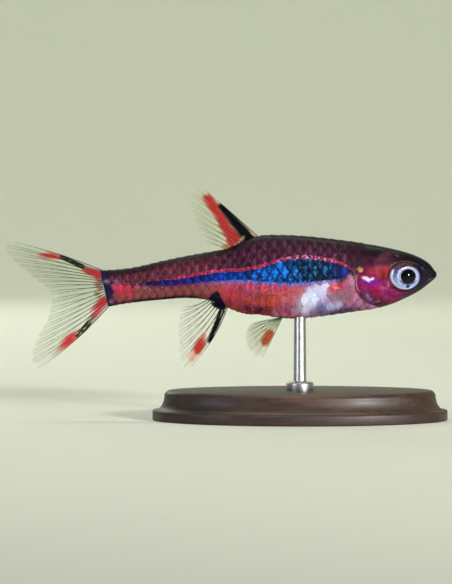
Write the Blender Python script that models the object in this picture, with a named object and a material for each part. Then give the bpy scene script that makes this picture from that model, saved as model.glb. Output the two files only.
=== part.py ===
# A chili rasbora, life size, held level in mid water by a small display stand.
# +X runs to the head, +Z is up and -Y is the fish's right side.
# The origin is the middle of the stand's underside, under the rod.
# Sizes are in millimetres until a mesh is made, which turns them into metres.
# A place on the fish is (behind, height): behind the snout's tip, and above the eyes' centres.

import bisect
import math

import bmesh
import bpy
from mathutils import Matrix, Vector

MM = 0.001
GAP = 0.3  # kept between neighbouring pieces
EYE_GAP = 0.12  # the same round an eyeball, where the head is only 2.5 mm deep

# The fish over its stand
SNOUT_AHEAD = 7.4
EYE_LINE = 7.8

# The body's outline: behind, top, bottom, half width
BODY = (
    (0.00, 0.08, 0.08, 0.00),
    (0.14, 0.35, -0.16, 0.25),
    (0.35, 0.63, -0.35, 0.43),
    (0.90, 1.00, -0.79, 0.72),
    (1.70, 1.30, -1.21, 0.97),
    (2.50, 1.50, -1.55, 1.10),
    (3.35, 1.67, -1.79, 1.17),
    (4.40, 1.85, -1.94, 1.20),
    (5.80, 2.03, -2.14, 1.20),
    (7.40, 2.19, -2.31, 1.17),
    (8.50, 2.23, -2.28, 1.10),
    (9.60, 2.19, -2.11, 1.01),
    (10.40, 1.95, -2.06, 0.94),
    (11.40, 1.50, -1.71, 0.84),
    (12.45, 1.29, -1.31, 0.72),
    (13.40, 1.12, -1.20, 0.63),
    (15.00, 0.79, -1.30, 0.52),
    (16.60, 0.42, -1.46, 0.42),
    (18.00, 0.32, -1.68, 0.32),
)
WIDEST = 0.54  # the widest level, as a share of the depth from the belly up
BACK_ROUNDNESS = 2.1  # power of the section's curve over the widest level
BELLY_ROUNDNESS = 1.9  # and under it

# The tail's base leans: its upper end lies further back
TAIL_BASE = 17.98
TAIL_BASE_HEIGHT = -0.62
TAIL_LEAN = 0.226
LEAN_STARTS = 15.5

# Where the pieces of the body part
GILL_MARGIN = (
    (3.85, 2.40),
    (4.05, 1.00),
    (4.15, 0.45),
    (4.42, 0.05),
    (4.47, -0.33),
    (4.36, -0.76),
    (4.15, -1.08),
    (3.77, -1.41),
    (3.15, -1.70),
    (2.20, -2.15),
)
STALK_STARTS = 12.7

# The lofts that the pieces are cut from, and how finely they are divided
NOSE_RING = 0.03
HEAD_LOFT_ENDS = 4.9
HEAD_SIDES = 64
HEAD_RINGS = 42
TRUNK_LOFT_STARTS = 1.9
TRUNK_SIDES = 36
TRUNK_RINGS = 26
STALK_SIDES = 28
STALK_RINGS = 14

# Head
EYE_PLACE = (1.71, 0.0)
EYE_RADIUS = 0.80
EYE_HALF_DEPTH = 0.45
EYE_BULGE = 0.13  # how far the eye stands out of the cheek
EYE_YAW = math.radians(13)  # how far it looks ahead, square to the narrowing head
EYE_RIM = 0.045
EYE_RIM_WIDTH = 0.22
GILL_COVER_RISE = 0.09
GILL_COVER_STARTS = 1.5  # ahead of the gill margin
GILL_COVER_TOP = 0.60
GILL_COVER_FOOT = -1.55
CHEEK_CENTRE = (1.81, -0.05)
CHEEK_GROOVE_RADIUS = 1.30
COVER_GROOVE_RADIUS = 2.12
GROOVE_DEPTH = 0.07
GROOVE_WIDTH = 0.30
MOUTH = ((-0.15, 0.10), (0.10, 0.03), (0.34, -0.11), (0.60, -0.30))
MOUTH_HEIGHT = 0.07
LIP_RISE = 0.05
LIP_WIDTH = 0.16
CUT_REACH = 2.5  # how far cutters reach past the fish on each side
NOSTRILS = ((0.70, 0.50, 0.065), (0.88, 0.60, 0.085))  # behind, height, radius

# Fins: half thickness of the web at its root and tip, and the rays' rise from it
WEB_ROOT = 0.25
WEB_TIP = 0.12
RAY_RISE = 0.07
RAY_HALF_WIDTH = 0.25  # as a share of the distance between two rays
WEB_NOTCH = 0.03  # how much shorter the web is than the rays, as a share of their length

# The tips run along a fin's far edge, from its first ray to its last. A bend moves the
# middle of a ray's curve. A back or belly fin's root is given by where it starts and ends
# behind the snout, a tail lobe's by its heights, and a paired fin's by two points.
DORSAL = {
    "rays": 9,
    "rows": 7,
    "root": (9.68, 11.47),
    "first_bend": (0.0, 0.0),
    "last_bend": (0.0, 0.15),
    "tips": (
        (12.61, 4.74),
        (13.10, 4.80),
        (13.26, 4.12),
        (13.15, 3.42),
        (12.93, 2.77),
        (12.66, 2.17),
        (12.44, 1.80),
    ),
}
ANAL = {
    "rays": 9,
    "rows": 7,
    "root": (11.40, 12.42),
    "first_bend": (-0.28, 0.0),
    "last_bend": (0.0, -0.15),
    "tips": (
        (13.26, -4.88),
        (13.66, -4.96),
        (13.88, -4.40),
        (13.95, -3.60),
        (13.96, -2.90),
        (13.92, -2.30),
        (13.80, -1.80),
    ),
}
TAIL_UPPER = {
    "rays": 10,
    "rows": 8,
    "root": (0.33, -0.44),
    "first_bend": (0.0, 0.22),
    "last_bend": (0.0, 0.06),
    "tips": (
        (22.85, 1.83),
        (23.35, 1.55),
        (23.00, 0.98),
        (22.58, 0.54),
        (22.04, 0.11),
        (21.61, -0.24),
        (21.20, -0.58),
        (20.92, -0.92),
    ),
}
TAIL_LOWER = {
    "rays": 9,
    "rows": 8,
    "root": (-0.84, -1.62),
    "first_bend": (0.0, 0.0),
    "last_bend": (0.10, -0.42),
    "tips": (
        (20.86, -1.36),
        (20.95, -1.85),
        (21.12, -2.40),
        (21.42, -2.95),
        (21.72, -3.58),
        (21.88, -4.12),
        (21.90, -4.65),
        (21.61, -5.02),
    ),
}
PELVIC = {
    "rays": 7,
    "rows": 5,
    "root": ((8.42, -2.37), (8.80, -2.35)),
    "first_bend": (0.0, 0.0),
    "last_bend": (0.0, 0.10),
    "tips": (
        (9.41, -4.50),
        (9.90, -4.45),
        (10.18, -4.10),
        (10.22, -3.60),
        (10.10, -3.10),
        (9.86, -2.75),
    ),
}
PELVIC_OUT = 0.45
PELVIC_SPLAY = math.radians(20)
PECTORAL = {
    "rays": 9,
    "rows": 5,
    "root": ((4.86, -0.80), (4.96, -1.30)),
    "first_bend": (0.0, 0.10),
    "last_bend": (0.0, -0.05),
    "tips": (
        (7.65, -0.95),
        (7.80, -1.40),
        (7.55, -1.80),
        (7.15, -2.05),
        (6.65, -2.15),
        (6.20, -2.05),
    ),
}
PECTORAL_SWING = math.radians(26)

# Stand
BASE_LENGTH = 16.0
BASE_WIDTH = 10.0
BASE_HEIGHT = 1.6
BASE_STEP = 0.55  # height of the straight foot
BASE_BEVEL = 0.18
BASE_SIDES = 48
ROD_RADIUS = 0.35
ROD_SIDES = 20
COLLAR_RADIUS = 0.75
COLLAR_HEIGHT = 0.45


def clear_scene():
    for old in list(bpy.data.objects):
        bpy.data.objects.remove(old)


def material(name, colour, roughness, metallic=0.0):
    made = bpy.data.materials.new(name)
    made.use_nodes = True
    shader = made.node_tree.nodes["Principled BSDF"]
    shader.inputs["Base Color"].default_value = (*colour, 1.0)
    shader.inputs["Roughness"].default_value = roughness
    shader.inputs["Metallic"].default_value = metallic
    made.diffuse_color = (*colour, 1.0)
    return made


def smooth_curve(keys, values):
    """The smooth curve through values at rising keys, as a function of the key."""
    last = len(keys) - 1
    rises = [(values[i + 1] - values[i]) / (keys[i + 1] - keys[i]) for i in range(last)]
    slopes = [rises[0]]
    for i in range(1, last):
        before = keys[i] - keys[i - 1]
        after = keys[i + 1] - keys[i]
        slopes.append((rises[i - 1] * after + rises[i] * before) / (before + after))
    slopes.append(rises[-1])

    def at(key):
        i = min(max(bisect.bisect_right(keys, key) - 1, 0), last - 1)
        span = keys[i + 1] - keys[i]
        t = (key - keys[i]) / span
        start = values[i] * (1 + 2 * t) * (1 - t) ** 2 + slopes[i] * (span * t * (1 - t) ** 2)
        end = values[i + 1] * (t * t * (3 - 2 * t)) + slopes[i + 1] * (span * t * t * (t - 1))
        return start + end

    return at


def curve_through(points):
    """The smooth curve through points, as a function from 0 at the first to 1 at the last."""
    vectors = [Vector(p) for p in points]
    lengths = [0.0]
    for a, b in zip(vectors, vectors[1:]):
        lengths.append(lengths[-1] + (b - a).length)
    return smooth_curve([at / lengths[-1] for at in lengths], vectors)


# The outline's keys are roots of the distance, which rounds the nose
BODY_KEYS = [math.sqrt(station[0]) for station in BODY]
TOP, BOTTOM, HALF_WIDTH = (
    smooth_curve(BODY_KEYS, [station[column] for station in BODY]) for column in (1, 2, 3)
)


def section(behind):
    """The body's top, bottom, half width and widest level at a place behind the snout."""
    key = math.sqrt(behind)
    top, bottom = TOP(key), BOTTOM(key)
    return top, bottom, HALF_WIDTH(key), bottom + (top - bottom) * WIDEST


def signed_power(value, power):
    return math.copysign(abs(value) ** power, value)


def body_point(behind, turn):
    """A point of the body's skin. The turn is 0 along the back and rises over the left side."""
    top, bottom, half_width, level = section(behind)
    up, out = math.cos(turn), math.sin(turn)
    roundness = BACK_ROUNDNESS if up > 0 else BELLY_ROUNDNESS
    reach = top - level if up > 0 else level - bottom
    side = half_width * signed_power(out, 2 / roundness)
    return Vector((behind, side, level + reach * signed_power(up, 2 / roundness)))


def flank(behind, height):
    """How far the body's side lies from its middle at a height."""
    top, bottom, half_width, level = section(behind)
    roundness = BACK_ROUNDNESS if height > level else BELLY_ROUNDNESS
    reach = top - level if height > level else bottom - level
    share = min(abs((height - level) / reach), 1.0)
    return half_width * (1 - share**roundness) ** (1 / roundness)


def world(point):
    """Metres in the part's own frame for (behind, side, height)."""
    behind, side, height = point
    return Vector((SNOUT_AHEAD - behind, side, EYE_LINE + height)) * MM


def mesh_object(name, points, faces, finish):
    mesh = bpy.data.meshes.new(name)
    mesh.from_pydata([tuple(p) for p in points], [], faces)
    form = bmesh.new()
    form.from_mesh(mesh)
    bmesh.ops.recalc_face_normals(form, faces=form.faces)
    form.to_mesh(mesh)
    form.free()
    mesh.materials.append(finish)
    made = bpy.data.objects.new(name, mesh)
    bpy.context.collection.objects.link(made)
    return made


def smoothed(made, angle=35):
    made.data.shade_smooth()
    made.data.set_sharp_from_angle(angle=math.radians(angle))
    return made


def loft(name, rings, finish, nose=None):
    """A closed skin over rings of points, from a nose point or a flat end to a flat end."""
    sides = len(rings[0])
    points = [p for ring in rings for p in ring]
    faces = []
    for i in range(len(rings) - 1):
        for j in range(sides):
            k = (j + 1) % sides
            low, high = i * sides, (i + 1) * sides
            faces.append((low + j, low + k, high + k, high + j))
    ends = ((0, nose), ((len(rings) - 1) * sides, None))
    for first, tip in ends:
        ring = points[first : first + sides]
        points.append(tip if tip is not None else sum(ring, Vector()) / sides)
        hub = len(points) - 1
        faces += [(hub, first + j, first + (j + 1) % sides) for j in range(sides)]
    return mesh_object(name, points, faces, finish)


def remove_object(gone):
    mesh = gone.data
    bpy.data.objects.remove(gone)
    bpy.data.meshes.remove(mesh)


def keep_largest(made):
    """Drops all but the largest closed surface of an object's mesh."""
    form = bmesh.new()
    form.from_mesh(made.data)
    bmesh.ops.triangulate(form, faces=form.faces)
    left = set(form.verts)
    islands = []
    while left:
        island, edge = set(), [left.pop()]
        while edge:
            vertex = edge.pop()
            island.add(vertex)
            linked = {e.other_vert(vertex) for e in vertex.link_edges} & left
            left -= linked
            edge += linked
        islands.append(island)
    largest = max(islands, key=len)
    bmesh.ops.delete(form, geom=[v for v in form.verts if v not in largest], context="VERTS")
    form.to_mesh(made.data)
    form.free()


def carve(made, cutters):
    """Cuts closed shapes out of an object and removes them."""
    for cutter in cutters:
        cut = made.modifiers.new(cutter.name, "BOOLEAN")
        cut.operation = "DIFFERENCE"
        cut.object = cutter
    graph = bpy.context.evaluated_depsgraph_get()
    carved = bpy.data.meshes.new_from_object(made.evaluated_get(graph))
    made.modifiers.clear()
    plain, made.data = made.data, carved
    bpy.data.meshes.remove(plain)
    carved.name = made.name
    for cutter in cutters:
        remove_object(cutter)
    keep_largest(made)
    return made


def slab(name, outline, finish):
    """A block with an outline of (behind, height), which reaches past the fish on both sides."""
    count = len(outline)
    points = [world((b, side, h)) for side in (-CUT_REACH, CUT_REACH) for b, h in outline]
    faces = [tuple(range(count)), tuple(range(2 * count - 1, count - 1, -1))]
    for j in range(count):
        k = (j + 1) % count
        faces.append((j, k, count + k, count + j))
    return mesh_object(name, points, faces, finish)


def ball(name, centre, radii, finish, yaw=0.0, segments=24, rings=12):
    """An ellipsoid about (behind, side, height), turned by a yaw."""
    form = bmesh.new()
    turn = Matrix.Rotation(yaw, 4, "Z")
    place = Matrix.Translation(world(centre)) @ turn @ Matrix.Diagonal((*(r * MM for r in radii), 1))
    # Its poles point sideways, so that its rings run round the way the fish looks
    place = place @ Matrix.Rotation(math.pi / 2, 4, "X")
    bmesh.ops.create_uvsphere(form, u_segments=segments, v_segments=rings, radius=1, matrix=place)
    mesh = bpy.data.meshes.new(name)
    form.to_mesh(mesh)
    form.free()
    mesh.materials.append(finish)
    made = bpy.data.objects.new(name, mesh)
    bpy.context.collection.objects.link(made)
    return made


# The gill opening's edge, which parts head from trunk

GILL_EDGE = smooth_curve(
    [height for _, height in reversed(GILL_MARGIN)],
    [behind for behind, _ in reversed(GILL_MARGIN)],
)
GILL_STEPS = 36


def gill_line(back):
    """Points down the gill margin, moved back at right angles to it."""
    low, high = GILL_MARGIN[-1][1], GILL_MARGIN[0][1]
    line = []
    for i in range(GILL_STEPS + 1):
        height = high + (low - high) * i / GILL_STEPS
        step = 0.01
        slope = (GILL_EDGE(height + step) - GILL_EDGE(height - step)) / (2 * step)
        length = math.hypot(1, slope)
        line.append((GILL_EDGE(height) + back / length, height - back * slope / length))
    return line


def gill_block(name, back, far, finish):
    """The block on one side of the gill margin, out to a far place."""
    line = gill_line(back)
    reach = 1.0
    line = [(line[0][0], line[0][1] + reach), *line, (line[-1][0], line[-1][1] - reach)]
    return slab(name, [*line, (far, line[-1][1]), (far, line[0][1])], finish)


# The head's relief, out from the plain body


def bump(distance, width):
    """1 at no distance, falling to 0 at a width."""
    share = min(abs(distance) / width, 1.0)
    return (1 - share * share) ** 2


def step_up(value, start, end):
    share = min(max((value - start) / (end - start), 0.0), 1.0)
    return share * share * (3 - 2 * share)


def groove(behind, height, radius, lowest, highest):
    """A groove round the cheek's centre between two angles, which rise above level behind."""
    across, up = behind - CHEEK_CENTRE[0], height - CHEEK_CENTRE[1]
    angle = math.degrees(math.atan2(up, across))
    ends = step_up(angle, lowest - 12, lowest + 12) * step_up(angle, highest + 12, highest - 12)
    return bump(math.hypot(across, up) - radius, GROOVE_WIDTH) * ends


MOUTH_LINE = curve_through(MOUTH)
MOUTH_POINTS = [MOUTH_LINE(i / 24) for i in range(25)]


def head_relief(behind, height):
    eye = math.hypot(behind - EYE_PLACE[0], height - EYE_PLACE[1])
    rim = EYE_RIM * bump(eye - EYE_RADIUS - EYE_RIM_WIDTH, EYE_RIM_WIDTH)
    cover = step_up(GILL_EDGE(height) - behind, GILL_COVER_STARTS, 0.35)
    cover *= step_up(height, GILL_COVER_TOP + 0.25, GILL_COVER_TOP - 0.25)
    cover *= step_up(height, GILL_COVER_FOOT - 0.2, GILL_COVER_FOOT + 0.2)
    grooves = groove(behind, height, CHEEK_GROOVE_RADIUS, -115, 38)
    grooves = max(grooves, groove(behind, height, COVER_GROOVE_RADIUS, -52, -14))
    mouth = min((Vector((behind, height)) - p).length for p in MOUTH_POINTS)
    lips = LIP_RISE * bump(mouth - MOUTH_HEIGHT, LIP_WIDTH)
    return rim + GILL_COVER_RISE * cover - GROOVE_DEPTH * grooves + lips


def head_point(behind, turn):
    """A point of the head's skin: the body's own, moved out by the relief on its sides."""
    point = body_point(behind, turn)
    nudge = 0.02
    slope = body_point(behind, turn + nudge) - body_point(behind, turn - nudge)
    out = Vector((0, slope.z, -slope.y))
    out *= -1 if out.dot(point - Vector((behind, 0, section(behind)[3]))) < 0 else 1
    side = step_up(abs(math.sin(turn)), 0.05, 0.35)
    return point + out.normalized() * head_relief(behind, point.z) * side


def turns(count):
    return [2 * math.pi * j / count for j in range(count)]


def spread(start, end, count, power=1.0):
    """Places from start to end, evenly apart in their power."""
    low, high = start**power, end**power
    return [(low + (high - low) * i / (count - 1)) ** (1 / power) for i in range(count)]


def make_head(finish):
    around = turns(HEAD_SIDES)
    places = spread(NOSE_RING, HEAD_LOFT_ENDS, HEAD_RINGS, power=0.66)
    rings = [[world(head_point(b, turn)) for turn in around] for b in places]
    head = loft("head", rings, finish, nose=world((0, 0, BODY[0][1])))
    half = MOUTH_HEIGHT / 2
    upper = [(p.x, p.y + half) for p in MOUTH_POINTS]
    lower = [(p.x, p.y - half) for p in reversed(MOUTH_POINTS)]
    corner = MOUTH_POINTS[-1]
    cutters = [
        gill_block("behind_head", 0.0, 2 * HEAD_LOFT_ENDS, finish),
        slab("mouth", [*upper, (corner.x + half, corner.y), *lower], finish),
    ]
    for side in (-1, 1):
        cutters.append(eyeball("socket", side, EYE_GAP, finish))
        for behind, height, radius in NOSTRILS:
            place = (behind, side * flank(behind, height), height)
            cutters.append(ball("nostril", place, [radius] * 3, finish, segments=10, rings=6))
    return smoothed(carve(head, cutters))


def eyeball(name, side, swell, finish):
    """One eye's ball, or its socket where it swells."""
    out = flank(*EYE_PLACE) - (EYE_HALF_DEPTH - EYE_BULGE) * math.cos(EYE_YAW)
    place = (EYE_PLACE[0], side * out, EYE_PLACE[1])
    radii = [radius + swell for radius in (EYE_RADIUS, EYE_HALF_DEPTH, EYE_RADIUS)]
    return ball(name, place, radii, finish, yaw=-side * EYE_YAW)


def make_eyes(finish):
    for name, side in (("eye_right", -1), ("eye_left", 1)):
        smoothed(eyeball(name, side, 0.0, finish))


def make_trunk(finish):
    around = turns(TRUNK_SIDES)
    places = spread(TRUNK_LOFT_STARTS, STALK_STARTS - GAP / 2, TRUNK_RINGS)
    rings = [[world(body_point(b, turn)) for turn in around] for b in places]
    trunk = loft("trunk", rings, finish)
    return smoothed(carve(trunk, [gill_block("before_trunk", GAP, NOSE_RING, finish)]))


def tail_base(height):
    return TAIL_BASE + TAIL_LEAN * (height - TAIL_BASE_HEIGHT)


def make_tail_stalk(finish):
    around = turns(STALK_SIDES)
    rings = []
    for behind in spread(STALK_STARTS + GAP / 2, TAIL_BASE, STALK_RINGS):
        share = max(0.0, (behind - LEAN_STARTS) / (TAIL_BASE - LEAN_STARTS))
        ring = [body_point(behind, turn) for turn in around]
        for point in ring:
            point.x += share * TAIL_LEAN * (point.z - TAIL_BASE_HEIGHT)
        rings.append([world(point) for point in ring])
    return smoothed(loft("tail_stalk", rings, finish))


# Fins


def ray_curve(root, tip, bend):
    """A ray's middle line, from 0 at its root to 1 at its tip."""
    middle = (root + tip) / 2 + Vector(bend)

    def at(t):
        return root * (1 - t) ** 2 + middle * (2 * t * (1 - t)) + tip * t * t

    return at


def web_point(rays, place, t):
    """A point of the fin's middle sheet. Places count rays, and lie between or just past them."""
    i = min(max(int(math.floor(place)), 0), len(rays) - 2)
    before, after = rays[i](t), rays[i + 1](t)
    return before + (after - before) * (place - i)


def fin_rays(form, roots):
    """The rays' middle lines, spread evenly over the fin's root and its far edge."""
    edge = curve_through(form["tips"])
    last = form["rays"] - 1
    rays = []
    for i in range(last + 1):
        share = i / last
        bend = Vector(form["first_bend"]).lerp(Vector(form["last_bend"]), share)
        rays.append(ray_curve(roots(share), edge(share), bend))
    return rays


def fin(name, form, roots, finish, turned=None):
    """A webbed fin: a thin plate in the plane of (behind, height), with each ray a ridge."""
    rays = fin_rays(form, roots)
    columns = []
    for i in range(form["rays"]):
        for offset in (-RAY_HALF_WIDTH, 0.0, RAY_HALF_WIDTH):
            columns.append((i + offset, offset == 0.0))
    rows = form["rows"]
    points = []
    for side in (-1, 1):
        for place, is_ray in columns:
            for row in range(rows + 1):
                t = row / rows
                middle = web_point(rays, place, t if is_ray else t * (1 - WEB_NOTCH))
                half = WEB_ROOT + (WEB_TIP - WEB_ROOT) * t + RAY_RISE * is_ray * (1 - t / 2)
                point = Vector((middle.x, side * half, middle.y))
                points.append(world(turned @ point if turned else point))
    faces = fin_faces(len(columns), rows + 1)
    return smoothed(mesh_object(name, points, faces, finish), 50)


def fin_faces(columns, rows):
    """Triangles of both faces, cut alike, and of the edge that joins them."""
    layer = columns * rows
    faces = []
    for c in range(columns - 1):
        for r in range(rows - 1):
            a, b = c * rows + r, (c + 1) * rows + r
            for triangle in ((a, b, b + 1), (a, b + 1, a + 1)):
                faces.append(triangle)
                faces.append(tuple(layer + v for v in reversed(triangle)))
    rim = [c * rows for c in range(columns)]
    rim += [(columns - 1) * rows + r for r in range(1, rows)]
    rim += [c * rows + rows - 1 for c in range(columns - 2, -1, -1)]
    rim += [r for r in range(rows - 2, 0, -1)]
    for a, b in zip(rim, rim[1:] + rim[:1]):
        faces.append((a, layer + a, layer + b))
        faces.append((a, layer + b, b))
    return faces


def along_outline(form, outline, away):
    """A root a gap away from the body's top, with away 1, or from its bottom, with away -1."""
    start, end = form["root"]
    step = 0.1

    def at(share):
        behind = start + (end - start) * share
        rise = outline(math.sqrt(behind + step)) - outline(math.sqrt(behind - step))
        gap = GAP * math.hypot(1, rise / (2 * step))
        return Vector((behind, outline(math.sqrt(behind)) + away * gap))

    return at


def along_tail_base(form):
    start, end = form["root"]

    def at(share):
        height = start + (end - start) * share
        return Vector((tail_base(height) + GAP * math.hypot(1, TAIL_LEAN), height))

    return at


def straight_root(form):
    start, end = (Vector(p) for p in form["root"])
    return lambda share: start.lerp(end, share)


def root_middle(form):
    start, end = (Vector(p) for p in form["root"])
    return (start + end) / 2


def turned_about(form, side, out, angle, axis):
    """Turns a paired fin's plane about the middle of its root, and moves it out to one side."""
    middle = root_middle(form).to_3d().xzy
    moved = Matrix.Translation(middle + Vector((0, side * out, 0)))
    return moved @ Matrix.Rotation(side * angle, 4, axis) @ Matrix.Translation(-middle)


def make_fins(finish):
    fin("dorsal_fin", DORSAL, along_outline(DORSAL, TOP, 1), finish)
    fin("anal_fin", ANAL, along_outline(ANAL, BOTTOM, -1), finish)
    fin("tail_fin_upper", TAIL_UPPER, along_tail_base(TAIL_UPPER), finish)
    fin("tail_fin_lower", TAIL_LOWER, along_tail_base(TAIL_LOWER), finish)
    pectoral_out = flank(*root_middle(PECTORAL)) + GAP + WEB_ROOT
    for name, side in (("right", -1), ("left", 1)):
        turned = turned_about(PELVIC, side, PELVIC_OUT, PELVIC_SPLAY, "X")
        fin("pelvic_fin_" + name, PELVIC, straight_root(PELVIC), finish, turned)
        turned = turned_about(PECTORAL, side, pectoral_out, PECTORAL_SWING, "Z")
        fin("pectoral_fin_" + name, PECTORAL, straight_root(PECTORAL), finish, turned)


# The stand


def oval(shrink, height):
    ring = []
    for turn in turns(BASE_SIDES):
        x = (BASE_LENGTH / 2 - shrink) * math.cos(turn)
        y = (BASE_WIDTH / 2 - shrink) * math.sin(turn)
        ring.append(Vector((x, y, height)) * MM)
    return ring


def make_base(finish):
    """An oval plinth: a straight foot, a cove and a bevelled top."""
    rings = [oval(0.0, 0.0), oval(0.0, BASE_STEP)]
    cove = BASE_HEIGHT - BASE_STEP - BASE_BEVEL
    for i in range(5):
        turn = math.pi / 2 * i / 4
        rings.append(oval(0.15 + 0.5 * math.sin(turn), BASE_STEP + cove * (1 - math.cos(turn))))
    rings.append(oval(0.65 + BASE_BEVEL, BASE_HEIGHT))
    return smoothed(loft("stand_base", rings, finish))


def make_rod(finish):
    """A round rod with a collar at its foot, from just over the base to just under the belly."""
    foot = BASE_HEIGHT + GAP
    belly = EYE_LINE + BOTTOM(math.sqrt(SNOUT_AHEAD))
    head = belly - GAP
    outline = (
        (COLLAR_RADIUS, foot),
        (COLLAR_RADIUS, foot + COLLAR_HEIGHT * 0.6),
        (COLLAR_RADIUS * 0.8, foot + COLLAR_HEIGHT),
        (ROD_RADIUS, foot + COLLAR_HEIGHT + 0.1),
        (ROD_RADIUS, head - 0.08),
        (ROD_RADIUS * 0.8, head),
    )
    rings = []
    for radius, height in outline:
        ring = [
            Vector((radius * math.cos(turn), radius * math.sin(turn), height)) * MM
            for turn in turns(ROD_SIDES)
        ]
        rings.append(ring)
    return smoothed(loft("stand_rod", rings, finish))


def main():
    clear_scene()
    skin = material("fish skin", (0.33, 0.09, 0.12), 0.35)
    eye = material("eye", (0.75, 0.77, 0.80), 0.15)
    web = material("fin web", (0.45, 0.42, 0.36), 0.4)
    wood = material("dark wood", (0.06, 0.03, 0.02), 0.35)
    steel = material("steel rod", (0.6, 0.6, 0.6), 0.3, 1.0)
    make_head(skin)
    make_eyes(eye)
    make_trunk(skin)
    make_tail_stalk(skin)
    make_fins(web)
    make_base(wood)
    make_rod(steel)


main()
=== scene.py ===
import math
from functools import partial

import bmesh
import bpy
import numpy as np
from mathutils import Matrix, Vector


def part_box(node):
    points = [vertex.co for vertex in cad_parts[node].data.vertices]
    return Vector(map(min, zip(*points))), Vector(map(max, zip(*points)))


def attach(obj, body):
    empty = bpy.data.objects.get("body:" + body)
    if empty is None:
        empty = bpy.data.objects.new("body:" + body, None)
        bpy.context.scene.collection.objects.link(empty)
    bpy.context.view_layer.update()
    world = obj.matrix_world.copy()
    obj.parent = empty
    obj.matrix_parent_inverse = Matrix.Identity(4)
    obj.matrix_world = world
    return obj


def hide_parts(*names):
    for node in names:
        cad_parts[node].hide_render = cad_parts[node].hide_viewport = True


# A chili rasbora, life size, held in mid water by a small stand.
# Sizes are in millimetres until a mesh is made. A place on the fish is (behind the snout,
# height over the eyes' centres), and side is positive on the fish's left.

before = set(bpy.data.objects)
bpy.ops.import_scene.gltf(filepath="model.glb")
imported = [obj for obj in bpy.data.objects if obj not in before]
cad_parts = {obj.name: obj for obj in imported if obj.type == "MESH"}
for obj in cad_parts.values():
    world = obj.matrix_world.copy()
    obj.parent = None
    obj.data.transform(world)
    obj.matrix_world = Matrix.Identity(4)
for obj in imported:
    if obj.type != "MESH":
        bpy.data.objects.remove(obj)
bpy.ops.object.select_all(action="DESELECT")
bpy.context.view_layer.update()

mm = 0.001
headBox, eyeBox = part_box("head"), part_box("eye_right")
snoutX = headBox[1].x / mm
eyeZ = (eyeBox[0].z + eyeBox[1].z) / 2 / mm
print("frame loaded: snout at", round(snoutX, 2), "eye line at", round(eyeZ, 2))


# Helpers for curves and soft edges, for whole arrays at once

def curveThrough(keys, values):
    # the smooth curve through values at rising keys
    keys, values = np.array(keys, float), np.array(values, float)
    gaps = np.diff(keys)
    rises = np.diff(values) / gaps
    inner = (rises[:-1] * gaps[1:] + rises[1:] * gaps[:-1]) / (gaps[:-1] + gaps[1:])
    slopes = np.concatenate([rises[:1], inner, rises[-1:]])

    def at(key):
        i = np.clip(np.searchsorted(keys, key, side="right") - 1, 0, len(keys) - 2)
        span = gaps[i]
        t = (key - keys[i]) / span
        start = values[i] * (1 + 2 * t) * (1 - t) ** 2 + slopes[i] * span * t * (1 - t) ** 2
        end = values[i + 1] * t * t * (3 - 2 * t) + slopes[i + 1] * span * t * t * (t - 1)
        return start + end

    return at


def curveOf(points):
    keys, values = zip(*points)
    return curveThrough(keys, values)


def pathThrough(points):
    # a curve through flat points, by its share of the length
    points = np.array(points, float)
    lengths = np.concatenate([[0], np.cumsum(np.hypot(*np.diff(points, axis=0).T))])
    across, up = (curveThrough(lengths / lengths[-1], points[:, k]) for k in (0, 1))
    return lambda share: np.stack([across(share), up(share)], -1)


def rise(value, start, end):
    # 0 before start, 1 after end, soft between
    share = np.clip((value - start) / (end - start), 0, 1)
    return share * share * (3 - 2 * share)


def hump(distance, width):
    share = np.clip(np.abs(distance) / width, 0, 1)
    return (1 - share * share) ** 2


def spot(behind, height, centre, size, turn=0.0, soft=0.35):
    # an oval patch with a soft edge, its long side turned up from level by degrees
    angle = math.radians(turn)
    back, up = behind - centre[0], height - centre[1]
    along = back * math.cos(angle) + up * math.sin(angle)
    across = up * math.cos(angle) - back * math.sin(angle)
    return 1 - rise(np.hypot(along / size[0], across / size[1]), 1 - soft, 1 + soft)


def streak(behind, height, start, end, widths, soft=0.5):
    # a band from one place to another, as wide as widths at its two ends
    line = np.subtract(end, start)
    length = np.hypot(*line)
    along = ((behind - start[0]) * line[0] + (height - start[1]) * line[1]) / length
    share = np.clip(along / length, 0, 1)
    gap = np.hypot(behind - start[0] - share * line[0], height - start[1] - share * line[1])
    return 1 - rise(gap / (widths[0] + (widths[1] - widths[0]) * share), 1 - soft, 1 + soft)


def streaks(behind, height, *lines):
    # several streaks as one mark
    return np.max([streak(behind, height, *line) for line in lines], axis=0)


def pairAlong(start, end, apart, *form):
    # two streaks that run along a line, one on each side of it
    line = np.subtract(end, start)
    away = apart * np.array([-line[1], line[0]]) / np.hypot(*line)
    return [(start + way * away, end + way * away, *form) for way in (1, -1)]


def linear(code):
    # an sRGB hex colour as linear red, green and blue
    parts = np.array([int(code[i : i + 2], 16) / 255 for i in (0, 2, 4)])
    return np.where(parts <= 0.04045, parts / 12.92, ((parts + 0.055) / 1.055) ** 2.4)


def paint(canvas, mask, code):
    canvas += (linear(code) - canvas) * np.asarray(mask)[:, None]


def toWorld(places):
    places = np.asarray(places, float)
    ahead = snoutX - places[..., 0]
    return np.stack([ahead, places[..., 1], eyeZ + places[..., 2]], -1) * mm


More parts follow.
